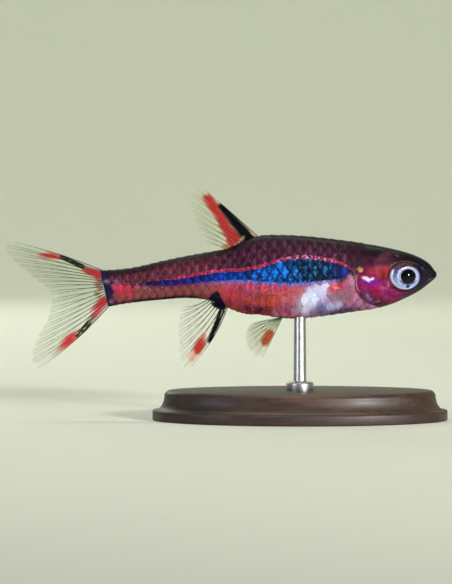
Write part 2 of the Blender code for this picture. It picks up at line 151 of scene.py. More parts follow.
def makeMesh(name, places, faces, colours, vectors, uvs=None, turnOut=False):
    # colours and vectors are kept at the points; turnOut turns every face outward
    mesh = bpy.data.meshes.new(name)
    mesh.from_pydata(toWorld(places).tolist(), [], [list(map(int, f)) for f in faces])
    if turnOut:
        form = bmesh.new()
        form.from_mesh(mesh)
        bmesh.ops.recalc_face_normals(form, faces=form.faces)
        form.to_mesh(mesh)
        form.free()
    for key, values in colours.items():
        layer = mesh.attributes.new(key, "FLOAT_COLOR", "POINT")
        layer.data.foreach_set("color", np.c_[values, np.ones(len(values))].ravel())
    for key, values in vectors.items():
        layer = mesh.attributes.new(key, "FLOAT_VECTOR", "POINT")
        layer.data.foreach_set("vector", np.asarray(values, float).ravel())
    if uvs is not None:
        layer = mesh.uv_layers.new(name="OFBake")
        layer.data.foreach_set("uv", np.asarray(uvs, float).ravel())
    mesh.shade_smooth()
    made = bpy.data.objects.new(name, mesh)
    bpy.context.collection.objects.link(made)
    return made


def plateFaces(across, along):
    # a thin closed plate of two grids of points, the second behind the first
    at = lambda i, k: i * (along + 1) + k
    layer = (across + 1) * (along + 1)
    front = [
        (at(i, k), at(i + 1, k), at(i + 1, k + 1), at(i, k + 1))
        for i in range(across) for k in range(along)
    ]
    back = [tuple(layer + n for n in reversed(face)) for face in front]
    loop = [at(i, 0) for i in range(across)] + [at(across, k) for k in range(along)]
    loop += [at(i, along) for i in range(across, 0, -1)] + [at(0, k) for k in range(along, 0, -1)]
    edge = [(b, a, layer + a, layer + b) for a, b in zip(loop, loop[1:] + loop[:1])]
    return front + back + edge


def onMap(share):
    # a share of the bake map's width or height, inside its margins
    return 0.02 + 0.96 * share


# Camera: level with the fish's side, far off, framed as the photograph is

camera = {
    "lens": 150.0,  # mm, on a 36 mm sensor's long side
    "frameHeight": 31.66,  # mm of the scene from the picture's top to its foot, at the fish
    "lookAt": (-4.01, 0.0, 6.93),  # mm, the picture's middle
    "elevation": 1.2,  # degrees
}


def makeCamera():
    data = bpy.data.cameras.new("camera")
    data.lens = camera["lens"]
    data.clip_start, data.clip_end = 0.005, 5
    made = bpy.data.objects.new("camera", data)
    bpy.context.collection.objects.link(made)
    distance = camera["frameHeight"] * camera["lens"] / data.sensor_width
    angle = math.radians(camera["elevation"])
    back = Vector((0, -math.cos(angle), math.sin(angle)))
    made.location = (Vector(camera["lookAt"]) + back * distance) * mm
    made.rotation_euler = (-back).to_track_quat("-Z", "Y").to_euler()
    bpy.context.scene.camera = made


makeCamera()
print("camera placed")


# Body: the outline's rows are behind, top, bottom and half width

body = {
    "outline": (
        (0.00, 0.08, 0.08, 0.00),
        (0.14, 0.35, -0.16, 0.25),
        (0.35, 0.63, -0.35, 0.43),
        (0.90, 1.00, -0.79, 0.72),
        (1.70, 1.30, -1.21, 0.97),
        (2.50, 1.50, -1.55, 1.10),
        (3.35, 1.67, -1.79, 1.17),
        (4.40, 1.85, -1.94, 1.20),
        (5.80, 2.03, -2.14, 1.20),
        (7.40, 2.19, -2.31, 1.17),
        (8.50, 2.23, -2.28, 1.10),
        (9.60, 2.19, -2.11, 1.01),
        (10.40, 1.95, -2.06, 0.94),
        (11.40, 1.50, -1.71, 0.84),
        (12.45, 1.29, -1.31, 0.72),
        (13.40, 1.12, -1.20, 0.63),
        (15.00, 0.79, -1.30, 0.52),
        (16.60, 0.42, -1.46, 0.42),
        (17.40, 0.34, -1.57, 0.35),
        (17.80, 0.32, -1.65, 0.25),
        (17.96, 0.31, -1.67, 0.15),
        (18.04, 0.28, -1.64, 0.05),
    ),
    "widest": 0.54,  # the widest level, as a share of the depth
    "backRoundness": 2.1,
    "bellyRoundness": 1.9,
    "tailBase": 17.98,  # behind, where the tail stalk ends
    "tailBaseHeight": -0.62,
    "tailLean": 0.226,  # mm further back for each mm higher
    "leanStarts": 15.5,
    "rings": 340,
    "sides": 176,
    "noseRing": 0.03,  # behind the snout, the first ring
    "ringSpread": 0.7,  # below 1, the rings lie closer towards the nose
    "coatDepth": 0.035,  # how far the skin lies inside the scales' tips
    "mapEnds": (0.015, 0.985),  # the nose's and the tail's places along the bake map
}
outlineKeys = [math.sqrt(row[0]) for row in body["outline"]]
topAt, bottomAt, halfWidthAt = (
    curveThrough(outlineKeys, [row[column] for row in body["outline"]]) for column in (1, 2, 3)
)


def section(behind):
    key = np.sqrt(behind)
    top, bottom = topAt(key), bottomAt(key)
    return top, bottom, halfWidthAt(key), bottom + (top - bottom) * body["widest"]


def bodyPoint(behind, turn):
    # a point of the plain body; the turn is 0 along the back and rises over the left side
    top, bottom, halfWidth, level = section(behind)
    up, out = np.cos(turn), np.sin(turn)
    power = 2 / np.where(up > 0, body["backRoundness"], body["bellyRoundness"])
    reach = np.where(up > 0, top - level, level - bottom)
    side = halfWidth * np.sign(out) * np.abs(out) ** power
    height = level + reach * np.sign(up) * np.abs(up) ** power
    share = np.clip((behind - body["leanStarts"]) / (body["tailBase"] - body["leanStarts"]), 0, 1)
    lean = share * body["tailLean"] * (height - body["tailBaseHeight"])
    return np.stack([behind + lean, side, height], -1)


def tailEdge(height):
    # how far back the tail stalk ends at a height
    return body["tailBase"] + body["tailLean"] * (height - body["tailBaseHeight"])


def flank(behind, height):
    # how far the body's side lies from its middle at a height
    top, bottom, halfWidth, level = section(behind)
    roundness = np.where(height > level, body["backRoundness"], body["bellyRoundness"])
    reach = np.where(height > level, top - level, bottom - level)
    share = np.clip(np.abs((height - level) / reach), 0, 1)
    return halfWidth * (1 - share**roundness) ** (1 / roundness)


def gridNormals(grid):
    # outward normals of a grid of rings
    along = np.gradient(grid, axis=0)
    around = np.roll(grid, -1, 1) - np.roll(grid, 1, 1)
    normals = np.cross(around, along)
    length = np.linalg.norm(normals, axis=-1, keepdims=True)
    normals = normals / np.maximum(length, 1e-9)
    outward = grid[..., 1:] - grid[..., 1:].mean(1, keepdims=True)
    flip = np.sign((normals[..., 1:] * outward).sum(-1).mean())
    return normals * flip


ringEnds = np.array([body["noseRing"], body["outline"][-1][0]]) ** body["ringSpread"]
ringPlaces = np.linspace(*ringEnds, body["rings"]) ** (1 / body["ringSpread"])
ringTurns = np.linspace(0, 2 * math.pi, body["sides"], endpoint=False)
plainGrid = bodyPoint(ringPlaces[:, None], ringTurns[None, :])
plainNormals = gridNormals(plainGrid)
print("body grid", plainGrid.shape)


# Head: its relief stands out from the plain body

head = {
    "end": 5.2,  # behind the snout, no relief past it
    "gillMargin": (  # height, behind
        (-2.15, 2.20), (-1.70, 3.15), (-1.41, 3.77), (-1.08, 4.15), (-0.76, 4.36), (-0.33, 4.47),
        (0.05, 4.42), (0.45, 4.15), (1.00, 4.05), (2.40, 3.85),
    ),
    "coverRise": 0.09,
    "coverStarts": 1.5,  # before the margin
    "coverTop": 0.60,
    "coverFoot": -1.55,
    "slitDepth": 0.07,
    "cheekCentre": (1.81, -0.05),
    "grooves": ((1.30, -115, 15), (2.12, -52, -14)),  # radius, lowest and highest angle
    "grooveDepth": 0.06,
    "grooveWidth": 0.26,
    "mouth": ((-0.15, 0.10), (0.10, 0.03), (0.34, -0.11), (0.60, -0.30)),
    "mouthDepth": 0.07,
    "mouthWidth": 0.055,
    "lipRise": 0.028,
    "lipWidth": 0.17,
    "nostrils": ((0.70, 0.50, 0.075), (0.88, 0.60, 0.09)),  # behind, height, radius
    "nostrilRise": 0.025,
    "nostrilDepth": 0.08,
}
gillEdge = curveOf(head["gillMargin"])
mouthPath = pathThrough(head["mouth"])(np.linspace(0, 1, 40))


def gillMargin(height):
    return gillEdge(np.clip(height, head["gillMargin"][0][0], head["gillMargin"][-1][0]))


def mouthGap(behind, height):
    gaps = np.hypot(behind[..., None] - mouthPath[:, 0], height[..., None] - mouthPath[:, 1])
    return gaps.min(-1)


def headRelief(behind, height):
    margin = gillMargin(height) - behind
    cover = rise(margin, head["coverStarts"], 0.35) * rise(margin, -0.03, 0.05)
    inLevel = rise(height, head["coverTop"] + 0.35, head["coverTop"] - 0.45)
    inLevel = inLevel * rise(height, head["coverFoot"] - 0.2, head["coverFoot"] + 0.2)
    relief = head["coverRise"] * cover * inLevel
    relief -= head["slitDepth"] * hump(margin + 0.07, 0.11) * inLevel
    back, up = behind - head["cheekCentre"][0], height - head["cheekCentre"][1]
    angle = np.degrees(np.arctan2(up, back))
    grooves = np.zeros_like(behind)
    for radius, lowest, highest in head["grooves"]:
        ends = rise(angle, lowest - 20, lowest + 20) * rise(angle, highest + 20, highest - 20)
        grooves = np.maximum(grooves, hump(np.hypot(back, up) - radius, head["grooveWidth"]) * ends)
    relief -= head["grooveDepth"] * grooves
    mouth = mouthGap(behind, height)
    relief += head["lipRise"] * hump(mouth - 0.10, head["lipWidth"])
    relief -= head["mouthDepth"] * hump(mouth, head["mouthWidth"])
    for place, level, radius in head["nostrils"]:
        gap = np.hypot(behind - place, height - level)
        relief += head["nostrilRise"] * hump(gap - radius, 0.05) - head["nostrilDepth"] * hump(gap, radius)
    return relief


# Eyes

eye = {
    "place": (1.79, 0.0),  # behind, height
    "shown": 0.83,  # radius where the skin meets it
    "radius": 0.89,
    "tall": 0.87,  # its height as a share of its width
    "halfDepth": 0.47,
    "bulge": 0.13,  # how far it stands out of the flank
    "yaw": 13.0,  # degrees that it looks ahead
    "orbit": 1.06,  # radius where the skin's dip round it starts
    "pupil": (-0.10, 0.0),  # from the eye's middle
    "pupilRadius": 0.44,
    "lensRise": 0.045,
    "ringSunk": 0.02,  # the dip round the lens
    "sunk": 0.05,  # how far the skin goes on under the ball
    "lid": 0.012,  # how far it stands off it before that
    "segments": 96,
    "rings": 64,
    "grain": 0.07,  # mm, how fine the silver is
    "silver": ((0.34, "7878a8"), (0.62, "c8c6e6")),
    "bluish": ((0.22, "34346c"), (0.45, "6478ac"), (0.66, "98b8ec")),
    "gold": ((0.40, "20141a"), (0.72, "7c5228")),
    "rimColour": "dcdcec",
    "markColour": "1c2858",
    "pupilColour": "04060a",
    "markBelow": 0.63,  # from the pupil's middle to the dark mark under it
}
eyeAxis = np.array([-math.sin(math.radians(eye["yaw"])), math.cos(math.radians(eye["yaw"])), 0])
eyeCentre = np.array([eye["place"][0], float(flank(np.array(eye["place"][0]), 0.0)), 0])
eyeCentre[1] -= (eye["halfDepth"] - eye["bulge"]) * eyeAxis[1]
eyeCentre[2] = eye["place"][1]


def eyeFront(radius):
    return eye["halfDepth"] * np.sqrt(np.clip(1 - (radius / eye["radius"]) ** 2, 0, 1))


def sinkOrbit(points):
    # lays the skin under the eyeball and turns its rim in to meet it
    for side in (1, -1):
        axis = eyeAxis * (1, side, 1)
        offset = points - eyeCentre * (1, side, 1)
        axial = offset @ axis
        across = offset - axial[..., None] * axis
        radius = np.linalg.norm(across / (1, 1, eye["tall"]), axis=-1)
        onSide = points[..., 1] * side > 0.2
        met = np.minimum(radius, eye["shown"])
        under = eye["sunk"] * (1 - rise(radius, eye["shown"] - 0.05, eye["shown"]))
        lid = eye["lid"] * rise(radius, eye["shown"] - 0.04, eye["shown"] + 0.02)
        share = (1 - rise(radius, eye["shown"] + 0.02, eye["orbit"])) * onSide
        points = points + ((eyeFront(met) - under + lid - axial) * share)[..., None] * axis
    return points


# Markings of the skin and the scales

stripe = {
    "top": (
        (4.0, 0.10), (4.7, 0.30), (5.2, 0.58), (5.8, 0.76), (6.6, 0.89), (7.4, 0.94), (8.2, 0.84),
        (9.0, 0.62), (9.6, 0.41), (10.4, 0.26), (11.7, 0.20), (12.8, 0.03), (13.9, -0.15),
        (15.0, -0.23), (16.0, -0.34), (18.0, -0.5),
    ),
    "foot": (
        (4.0, 0.0), (4.7, 0.10), (5.1, -0.18), (5.8, -0.31), (6.9, -0.41), (7.9, -0.46),
        (9.0, -0.41), (10.1, -0.31), (11.2, -0.30), (12.8, -0.42), (13.9, -0.54), (15.0, -0.60),
        (16.0, -0.58), (18.0, -0.6),
    ),
}
stripeTop, stripeFoot = curveOf(stripe["top"]), curveOf(stripe["foot"])

# colours of a scale's heart and of its rim, and how wide the heart is where a zone sets it
zones = {
    "plain": ("784660", "320e26"),
    "back": ("3c2430", "140a12"),
    "nape": ("2a1420",),
    "flank": ("cc5a48", "b04a4a", 0.72),
    "front": ("b87c9c", "9c6088"),
    "red": ("d01c2c", "b0648c", 0.55),
    "stalk": ("8c4c46", "743e46", 0.6),
    "overStalk": ("98505f", "4a1c30"),
    "keel": ("1c0e16", "120a10"),
    "tailBar": ("1c1a42", "1c1a42"),
    "tailEdge": ("1a1a3c", "1a1a3c"),
}
headColours = {
    "plain": "5a2440", "crown": "0c0810", "snout": "1a1230", "throat": "5c2a34",
    # the glint and the gold fleck's heart are painted highlights, the glint over silvery spots
    "gillRim": "f0b8cc", "glint": "ece4ff", "gold": "c8801c", "goldHighlight": "ffdc98",
    # the dark round the eye, in the mouth and in the nostrils is painted shade, round the eye over its own
    # dark rim
    "orbit": "1a1018", "mouth": "0c0608", "nostril": "0a080c",
}
evenFinish = (0.12, 0.06, 0.15)  # metal shine, width of the heart, how much that differs by scale

# ovals painted one over the other: centre, half sizes, turn, colour, strength
headMarks = (
    ((3.1, 1.62), (2.3, 0.50), 170, "0e0810", 0.97),
    ((0.6, 0.55), (0.95, 0.75), 150, "140e20", 0.95),
    ((2.6, 0.85), (0.75, 0.42), 160, "3c1c2c", 0.85),
    ((2.05, 1.05), (0.80, 0.20), 168, "1c1018", 0.8),
    ((2.20, 1.12), (0.09, 0.04), 30, "787494", 0.4),
    ((3.5, 0.50), (0.85, 0.45), 0, "3a1834", 0.95),
    ((3.55, -0.35), (1.05, 0.80), 0, "8c1440", 0.95),
    ((2.78, 0.25), (0.34, 0.80), 95, "a83040", 0.9),
    ((3.00, 0.96), (0.46, 0.20), 145, "6a3448", 0.6),
    ((2.55, 0.75), (0.35, 0.25), 60, "582436", 0.8),
    ((3.70, -0.35), (0.48, 0.30), 0, "9a1cb0", 0.9),
    ((3.35, -0.85), (0.30, 0.50), 80, "a8144c", 0.9),
    ((4.05, -0.60), (0.16, 0.45), 90, "a01a4c", 0.8),
    ((2.75, -0.62), (0.42, 0.40), 0, "a82c80", 0.8),
    ((2.2, -1.00), (0.70, 0.28), 160, "a02c70", 0.85),
    ((1.55, -1.02), (0.60, 0.22), 150, "4a2048", 0.8),
    ((2.5, -1.45), (0.70, 0.16), 160, "7a2c34", 0.8),
    ((0.75, -0.45), (0.65, 0.30), 140, "2c1a34", 0.85),
    ((3.85, -1.12), (0.42, 0.11), 48, "6c5088", 0.6),
    ((3.80, -1.02), (0.10, 0.045), 60, "b8a8e8", 0.9),
    ((3.62, -1.24), (0.14, 0.04), 35, "a8a0d8", 0.8),
    ((3.30, -1.40), (0.22, 0.04), 160, "c08898", 0.7),
    ((2.92, -0.62), (0.12, 0.07), 20, "d878a8", 0.9),
    ((3.60, -1.05), (0.50, 0.20), 50, "703c78", 0.5),
    ((2.62, -0.10), (0.07, 0.60), 10, "d890a0", 0.5),
)
# the same without a colour: pale glints on the gill cover, painted highlights on silvery spots
glints = (
    ((3.92, -0.10), (0.20, 0.08), 12, 0.9),
    ((3.62, -0.16), (0.20, 0.06), -8, 0.9),
    ((3.80, -0.22), (0.10, 0.07), 40, 0.8),
)
# and without a strength, with how soft the edge is: the gold fleck, then the painted highlight in its middle
goldFleck = ((4.26, 0.37), (0.16, 0.20), 75, 0.4), ((4.20, 0.32), (0.07, 0.10), 70, 0.5)
bodyMarks = (
    ((6.30, -1.45), (0.75, 0.40), 160, "8068b0", 0.6),
    ((4.95, -0.90), (0.55, 0.50), 0, "945c70", 0.8),
    ((6.80, -1.24), (1.02, 0.52), 138, "d0d8ff", 1.0),
    # the silver patch's lower part, its own silver painted whiter against the shade where the belly turns
    # down
    ((7.12, -1.50), (0.52, 0.34), 140, "e6e8ff", 1.0),
    ((6.02, -1.70), (0.54, 0.24), 165, "5c50b4", 0.9),
    ((6.12, -0.64), (0.52, 0.28), 122, "d8e0ff", 1.0),
    ((5.60, -1.64), (0.42, 0.22), 165, "c8d2ff", 1.0),
    ((5.20, -1.25), (0.22, 0.10), 150, "8a5a7c", 0.7),
    ((5.50, -0.62), (0.52, 0.24), 172, "d0304c", 0.95),
    ((5.52, -0.66), (0.12, 0.08), 0, "f8c098", 0.9),
    ((7.60, -0.95), (0.5, 0.25), 150, "d0584c", 0.6),
    ((8.50, -2.14), (0.45, 0.11), 178, "c0a8e0", 0.6),
    ((9.6, -1.35), (1.30, 0.38), 0, "c4482c", 0.75),
    ((11.05, -1.10), (0.62, 0.50), 0, "a82c40", 0.85),
    ((10.0, -0.95), (0.55, 0.24), 20, "6c2c5c", 0.7),
    # dark purple along the belly's lower edge: painted shade
    ((9.75, -1.78), (0.95, 0.26), 5, "3c1434", 0.95),
    ((7.95, -1.62), (0.60, 0.50), 0, "a85c7c", 0.75),
    ((8.05, -1.25), (0.30, 0.12), 30, "f08050", 0.7),
    ((8.60, -1.00), (0.12, 0.10), 0, "f0a0a0", 0.7),
    ((4.9, -1.96), (1.7, 0.26), 177, "363660", 0.85),
)
silverPatch = ((6.5, -1.1), (1.1, 0.6), 140, 0.5)
tailMarks = (
    ((16.95, -0.74), (0.62, 0.27), 8, "c0344c", 0.9),
    ((16.9, -1.05), (0.55, 0.16), 10, "b04030", 0.6),
    ((17.26, -0.27), (0.20, 0.07), 0, "7074a4", 0.5),
    ((17.72, -0.76), (0.30, 0.24), 0, "12164c", 0.95),
    ((17.84, -0.30), (0.10, 0.14), 60, "a4a8dc", 0.8),
    ((17.60, -1.38), (0.11, 0.08), 30, "b8a4d0", 0.8),
)
# corners of the black patch over the anal fin, in order
blackPatch = (
    (12.46, -1.38), (12.14, -0.86), (11.85, -0.80), (11.40, -1.62), (11.50, -1.90), (11.80, -1.92),
)


def stripeGaps(behind, height):
    # how far over the stripe's top and over its foot a place lies
    held = np.clip(behind, 4.0, 18.0)
    return height - stripeTop(held), height - stripeFoot(held)


def patchGap(behind, height):
    # how far outside the black patch a place lies
    gaps = []
    for start, end in zip(blackPatch, blackPatch[1:] + blackPatch[:1]):
        line = np.subtract(end, start)
        across = (behind - start[0]) * line[1] - (height - start[1]) * line[0]
        gaps.append(across / np.hypot(*line))
    return np.max(gaps, axis=0)


def fieldsAt(places):
    # what the skin's shader reads at each place, beside its colours
    behind, height = places[:, 0], places[:, 2]
    gap = patchGap(behind, height)
    return {
        "lines": np.stack([*stripeGaps(behind, height), behind], -1),
        "patch": np.stack([gap, 0 * gap, 0 * gap], -1),
    }


def wobble(behind, height):
    # an uneven number near 0, the same each time
    return 0.5 * (
        np.sin(9.1 * behind + 4.7 * height + 2 * np.sin(3.1 * height))
        * np.sin(7.3 * height - 5.2 * behind + 1.3)
        + np.sin(19.0 * behind - 14.0 * height) * np.sin(16.0 * height + 3.0) * 0.6
    )


def paintMarks(canvases, marks, behind, height, soft, where=1):
    # a canvas goes with the share of each mark's strength that it takes
    for centre, size, turn, colour, strength in marks:
        mask = strength * spot(behind, height, centre, size, turn, soft) * where
        for canvas, share in canvases:
            paint(canvas, mask * share, colour)


def bodyCoat(behind, height, top, bottom, wave):
    # colours and finish everywhere behind the head
    count = len(behind)
    heart, rim = (np.tile(linear(code), (count, 1)) for code in zones["plain"])
    shine, opening, varied = (np.full(count, even) for even in evenFinish)
    overTop, overFoot = stripeGaps(behind, height)

    def widen(mask, width):
        opening[:] += (width - opening) * mask

    def lay(mask, zone):
        for canvas, code in zip((heart, rim), zones[zone]):
            paint(canvas, mask, code)
        for width in zones[zone][2:]:
            widen(mask, width)

    # back, where the pale hearts fade out towards the nape
    under = top - height + 0.10 * wave
    paint(heart, 1 - rise(under, 0.14, 0.75), zones["back"][0])
    paint(rim, 1 - rise(under, 0.05, 0.9), zones["back"][1])
    nape = (1 - rise(behind, 4.1, 5.3)) * rise(height, 0.3, 0.7)
    lay(0.85 * nape, "nape")

    # flank and belly under the stripe, and the stripe's scales
    low = 1 - rise(overFoot, -0.16, -0.02)
    low = low * np.where(height < -0.9, 1, rise(behind, 3.9, 4.5))
    lay(low, "flank")
    inStripe = (1 - low) * (1 - rise(overTop, 0.0, 0.1))
    widen(inStripe, 0.13)
    varied += 0.35 * inStripe
    widen(inStripe * rise(behind, 6.9, 7.9), 0.50)
    lay(low * (1 - rise(behind + 0.5 * wave, 7.0, 8.6)), "front")
    middle = low * rise(behind, 7.2, 8.2) * (1 - rise(behind, 11.2, 11.9))
    lay(middle * (1 - rise(-overFoot, 0.34, 0.50)), "red")
    lay(low * rise(behind, 11.4, 12.6), "stalk")
    lay(rise(behind, 10.8, 13.0) * (1 - low) * rise(under, 0.15, 0.55), "overStalk")
    canvases = ((heart, 1), (rim, 0.85))
    paintMarks(canvases, bodyMarks, behind, height + 0.05 * wave, 0.45, rise(behind, 4.0, 4.6))
    shine += 0.07 * spot(behind, height, *silverPatch) * low

    # the dark keel of the tail stalk, and its end
    lay((1 - rise(height - bottom, 0.08, 0.20)) * rise(behind, 12.4, 13.2), "keel")
    past = behind - tailEdge(height)
    lay(0.85 * rise(past + 0.10 * wave, -0.50, -0.30), "tailBar")
    paintMarks(((heart, 1), (rim, 1)), tailMarks, behind, height + 0.03 * wave, 0.35)
    lay(0.9 * rise(past, -0.10, 0.02), "tailEdge")
    return heart, rim, np.stack([shine, opening, varied], -1)


def headCoat(behind, height, top, bottom, wave):
    # the head's colour, and how bright its glints are
    skin = np.tile(linear(headColours["plain"]), (len(behind), 1))
    paint(skin, 1 - rise(top - height, 0.30, 0.80), headColours["crown"])
    paint(skin, 1 - rise(behind, 0.5, 1.5), headColours["snout"])
    paint(skin, 0.6 * (1 - rise(height - bottom, 0.05, 0.3)), headColours["throat"])
    paintMarks(((skin, 1),), headMarks, behind + 0.04 * wave, height + 0.05 * wave, 0.5)

    # pale rear edge of the gill cover, the glints on it, painted highlights on silvery spots, and a fleck
    # of gold behind it with a painted highlight in its middle
    edge = gillMargin(height) - behind
    along = rise(height, -1.0, -0.7) * (1 - rise(height, -0.1, 0.25))
    paint(skin, 0.85 * hump(edge - 0.045, 0.055) * along, headColours["gillRim"])
    bright = np.zeros(len(behind))
    for centre, size, turn, strength in glints:
        mask = spot(behind + 0.03 * wave, height + 0.03 * wave, centre, size, turn, 0.4)
        bright = np.maximum(bright, strength * mask)
    paint(skin, bright, headColours["glint"])
    gold = spot(behind, height + 0.02 * wave, *goldFleck[0])
    paint(skin, gold, headColours["gold"])
    paint(skin, spot(behind, height, *goldFleck[1]), headColours["goldHighlight"])
    bright = np.maximum(bright, 0.8 * gold)

    # dark round the eye, its own dark rim with painted shade in the dip round it, and painted shade in
    # the mouth's slit and in the nostrils
    back, up = behind - eye["place"][0], height - eye["place"][1]
    outside = np.hypot(back, up / eye["tall"]) - eye["shown"]
    paint(skin, 0.85 * hump(outside - 0.05, 0.14), headColours["orbit"])
    paint(skin, 0.9 * hump(mouthGap(behind, height), 0.05), headColours["mouth"])
    for place, level, radius in head["nostrils"]:
        gap = np.hypot(behind - place, height - level)
        paint(skin, 0.85 * hump(gap, radius * 1.1), headColours["nostril"])
    return skin, bright


def markings(places):
    # the colour of a scale's heart and of its rim, and its finish
    behind, height = places[:, 0], places[:, 2]
    key = np.sqrt(np.clip(behind, 0.02, body["outline"][-1][0]))
    shared = behind, height, topAt(key), bottomAt(key), wobble(behind, height)
    heart, rim, finish = bodyCoat(*shared)
    skin, bright = headCoat(*shared)
    onHead = 1 - rise(behind - gillMargin(height), -0.04, 0.02)
    onHead = onHead * np.where(height > 0.75, 1 - rise(behind, 3.5, 4.5), 1)
    heart += (skin - heart) * onHead[:, None]
    rim += (skin * (0.42 + 0.5 * bright)[:, None] - rim) * onHead[:, None]
    finish[:, 0] += (0.10 + 0.5 * bright - finish[:, 0]) * onHead
    return heart, rim, finish


# Materials

def addNode(tree, kind, *inputs, out=0, **settings):
    # Inputs go in order, or by number in a dictionary. A setting is another input or a property
    # of the node, by its name. A socket is linked, a hex code is set as its colour and anything
    # else is set as it is.
    made = tree.nodes.new("ShaderNode" + kind)
    numbered = inputs[0] if inputs and isinstance(inputs[0], dict) else dict(enumerate(inputs))
    for key, value in {**settings, **numbered}.items():
        place = key.replace("_", " ") if isinstance(key, str) else key
        if isinstance(place, str) and place not in made.inputs:
            setattr(made, key, value)
        elif isinstance(value, bpy.types.NodeSocket):
            tree.links.new(value, made.inputs[place])
        else:
            made.inputs[place].default_value = (*linear(value), 1) if isinstance(value, str) else value
    return made.outputs[out]


def newMaterial(name, **settings):
    # a material with its shader's even values, and what adds nodes to it
    made = bpy.data.materials.new(name)
    made.use_nodes = True
    shader = made.node_tree.nodes["Principled BSDF"]
    for key, value in settings.items():
        shader.inputs[key.replace("_", " ")].default_value = value
    return made, partial(addNode, made.node_tree)


def leadTo(made, **sources):
    # links the finished sockets to the material's shader
    shader = made.node_tree.nodes["Principled BSDF"]
    for key, source in sources.items():
        made.node_tree.links.new(source, shader.inputs[key.replace("_", " ")])
    return made


def setRamp(colour, stops):
    # places from 0 to 1 with their colours
    elements = colour.node.color_ramp.elements
    while len(elements) > 1:
        elements.remove(elements[-1])
    elements[0].position = stops[0][0]
    elements[0].color = (*linear(stops[0][1]), 1)
    for place, code in stops[1:]:
        elements.new(place).color = (*linear(code), 1)
    return colour


def overlap(add, *parts):
    # Where all the parts are: their product. A part of three is a value with the places where it
    # starts and where it is whole, soft between them.
    whole = None
    for part in parts:
        if isinstance(part, tuple):
            part = add("MapRange", *part, interpolation_type="SMOOTHSTEP")
        whole = part if whole is None else add("Math", whole, part, operation="MULTIPLY")
    return whole


wetSkin = {
    "noises": (  # size in mm, detail and roughness
        (0.06, 2.0, 0.7),  # dark colour cells
        (0.35, 3.0, 0.6),  # uneven patches of them
        (0.16, 2.0, 0.6),  # ragged edges of a scale's colours
        # the last one gives the painted sparkles on the stripe's crystals their places
        (0.13, 1.0, 0.5),  # crystals in the blue stripe
    ),
    "ramp": (4.0, 18.0),  # mm behind the snout, the ends of the stripe's colours
    "stripeHearts": (
        (4.5, "121038"), (5.1, "14309c"), (5.8, "1864b0"), (6.6, "1876ac"), (7.4, "1470c4"),
        (8.6, "107ae8"), (10.0, "0a5cd0"), (11.6, "0844b8"), (12.8, "142c98"), (13.8, "26207c"),
        (15.2, "1e1a68"), (16.2, "342454"),
    ),
    "stripeRims": (
        (4.5, "100a20"), (5.1, "0c2470"), (5.8, "040e2c"), (7.4, "040c28"), (8.4, "062468"),
        (11.6, "061e68"), (13.0, "101050"), (15.2, "120e34"), (16.2, "281424"),
    ),
    "pinks": ((0.36, "7c1838"), (0.50, "ac2c50"), (0.62, "b83c60"), (0.74, "d890b0")),
    "pinkLine": 0.19,  # mm wide
    "violetRow": 0.13,
    "runs": {  # mm behind the snout: fades in from, is whole at, then out again
        "stripe": ((4.55, 4.75), (16.3, 15.7)),
        "pinkLine": ((4.5, 4.8), (14.8, 13.6)),
        "violetRow": ((5.0, 5.8), (13.5, 10.5)),
        "crystalSparkles": ((5.0, 5.6), (12.0, 9.5)),
        "purple": ((7.2, 8.4),),
        "specks": ((4.6, 5.4), (11.4, 10.8)),
        "lilac": ((5.4, 6.2), (9.0, 8.0)),
    },
    "colours": {
        "violetRow": "8872cc", "patch": "0c0c28", "crystalSparkles": "6cc0ec", "purple": "803058",
        "specks": "f0b4b8", "lilac": "c4b0ec", "redder": "ff9078", "bluer": "8c6cb4",
    },
    "slime": {"Coat Roughness": 0.16, "Coat IOR": 1.36, "Specular IOR Level": 0.1},
    "ridges": 22.0,  # radians over half a scale's width
}


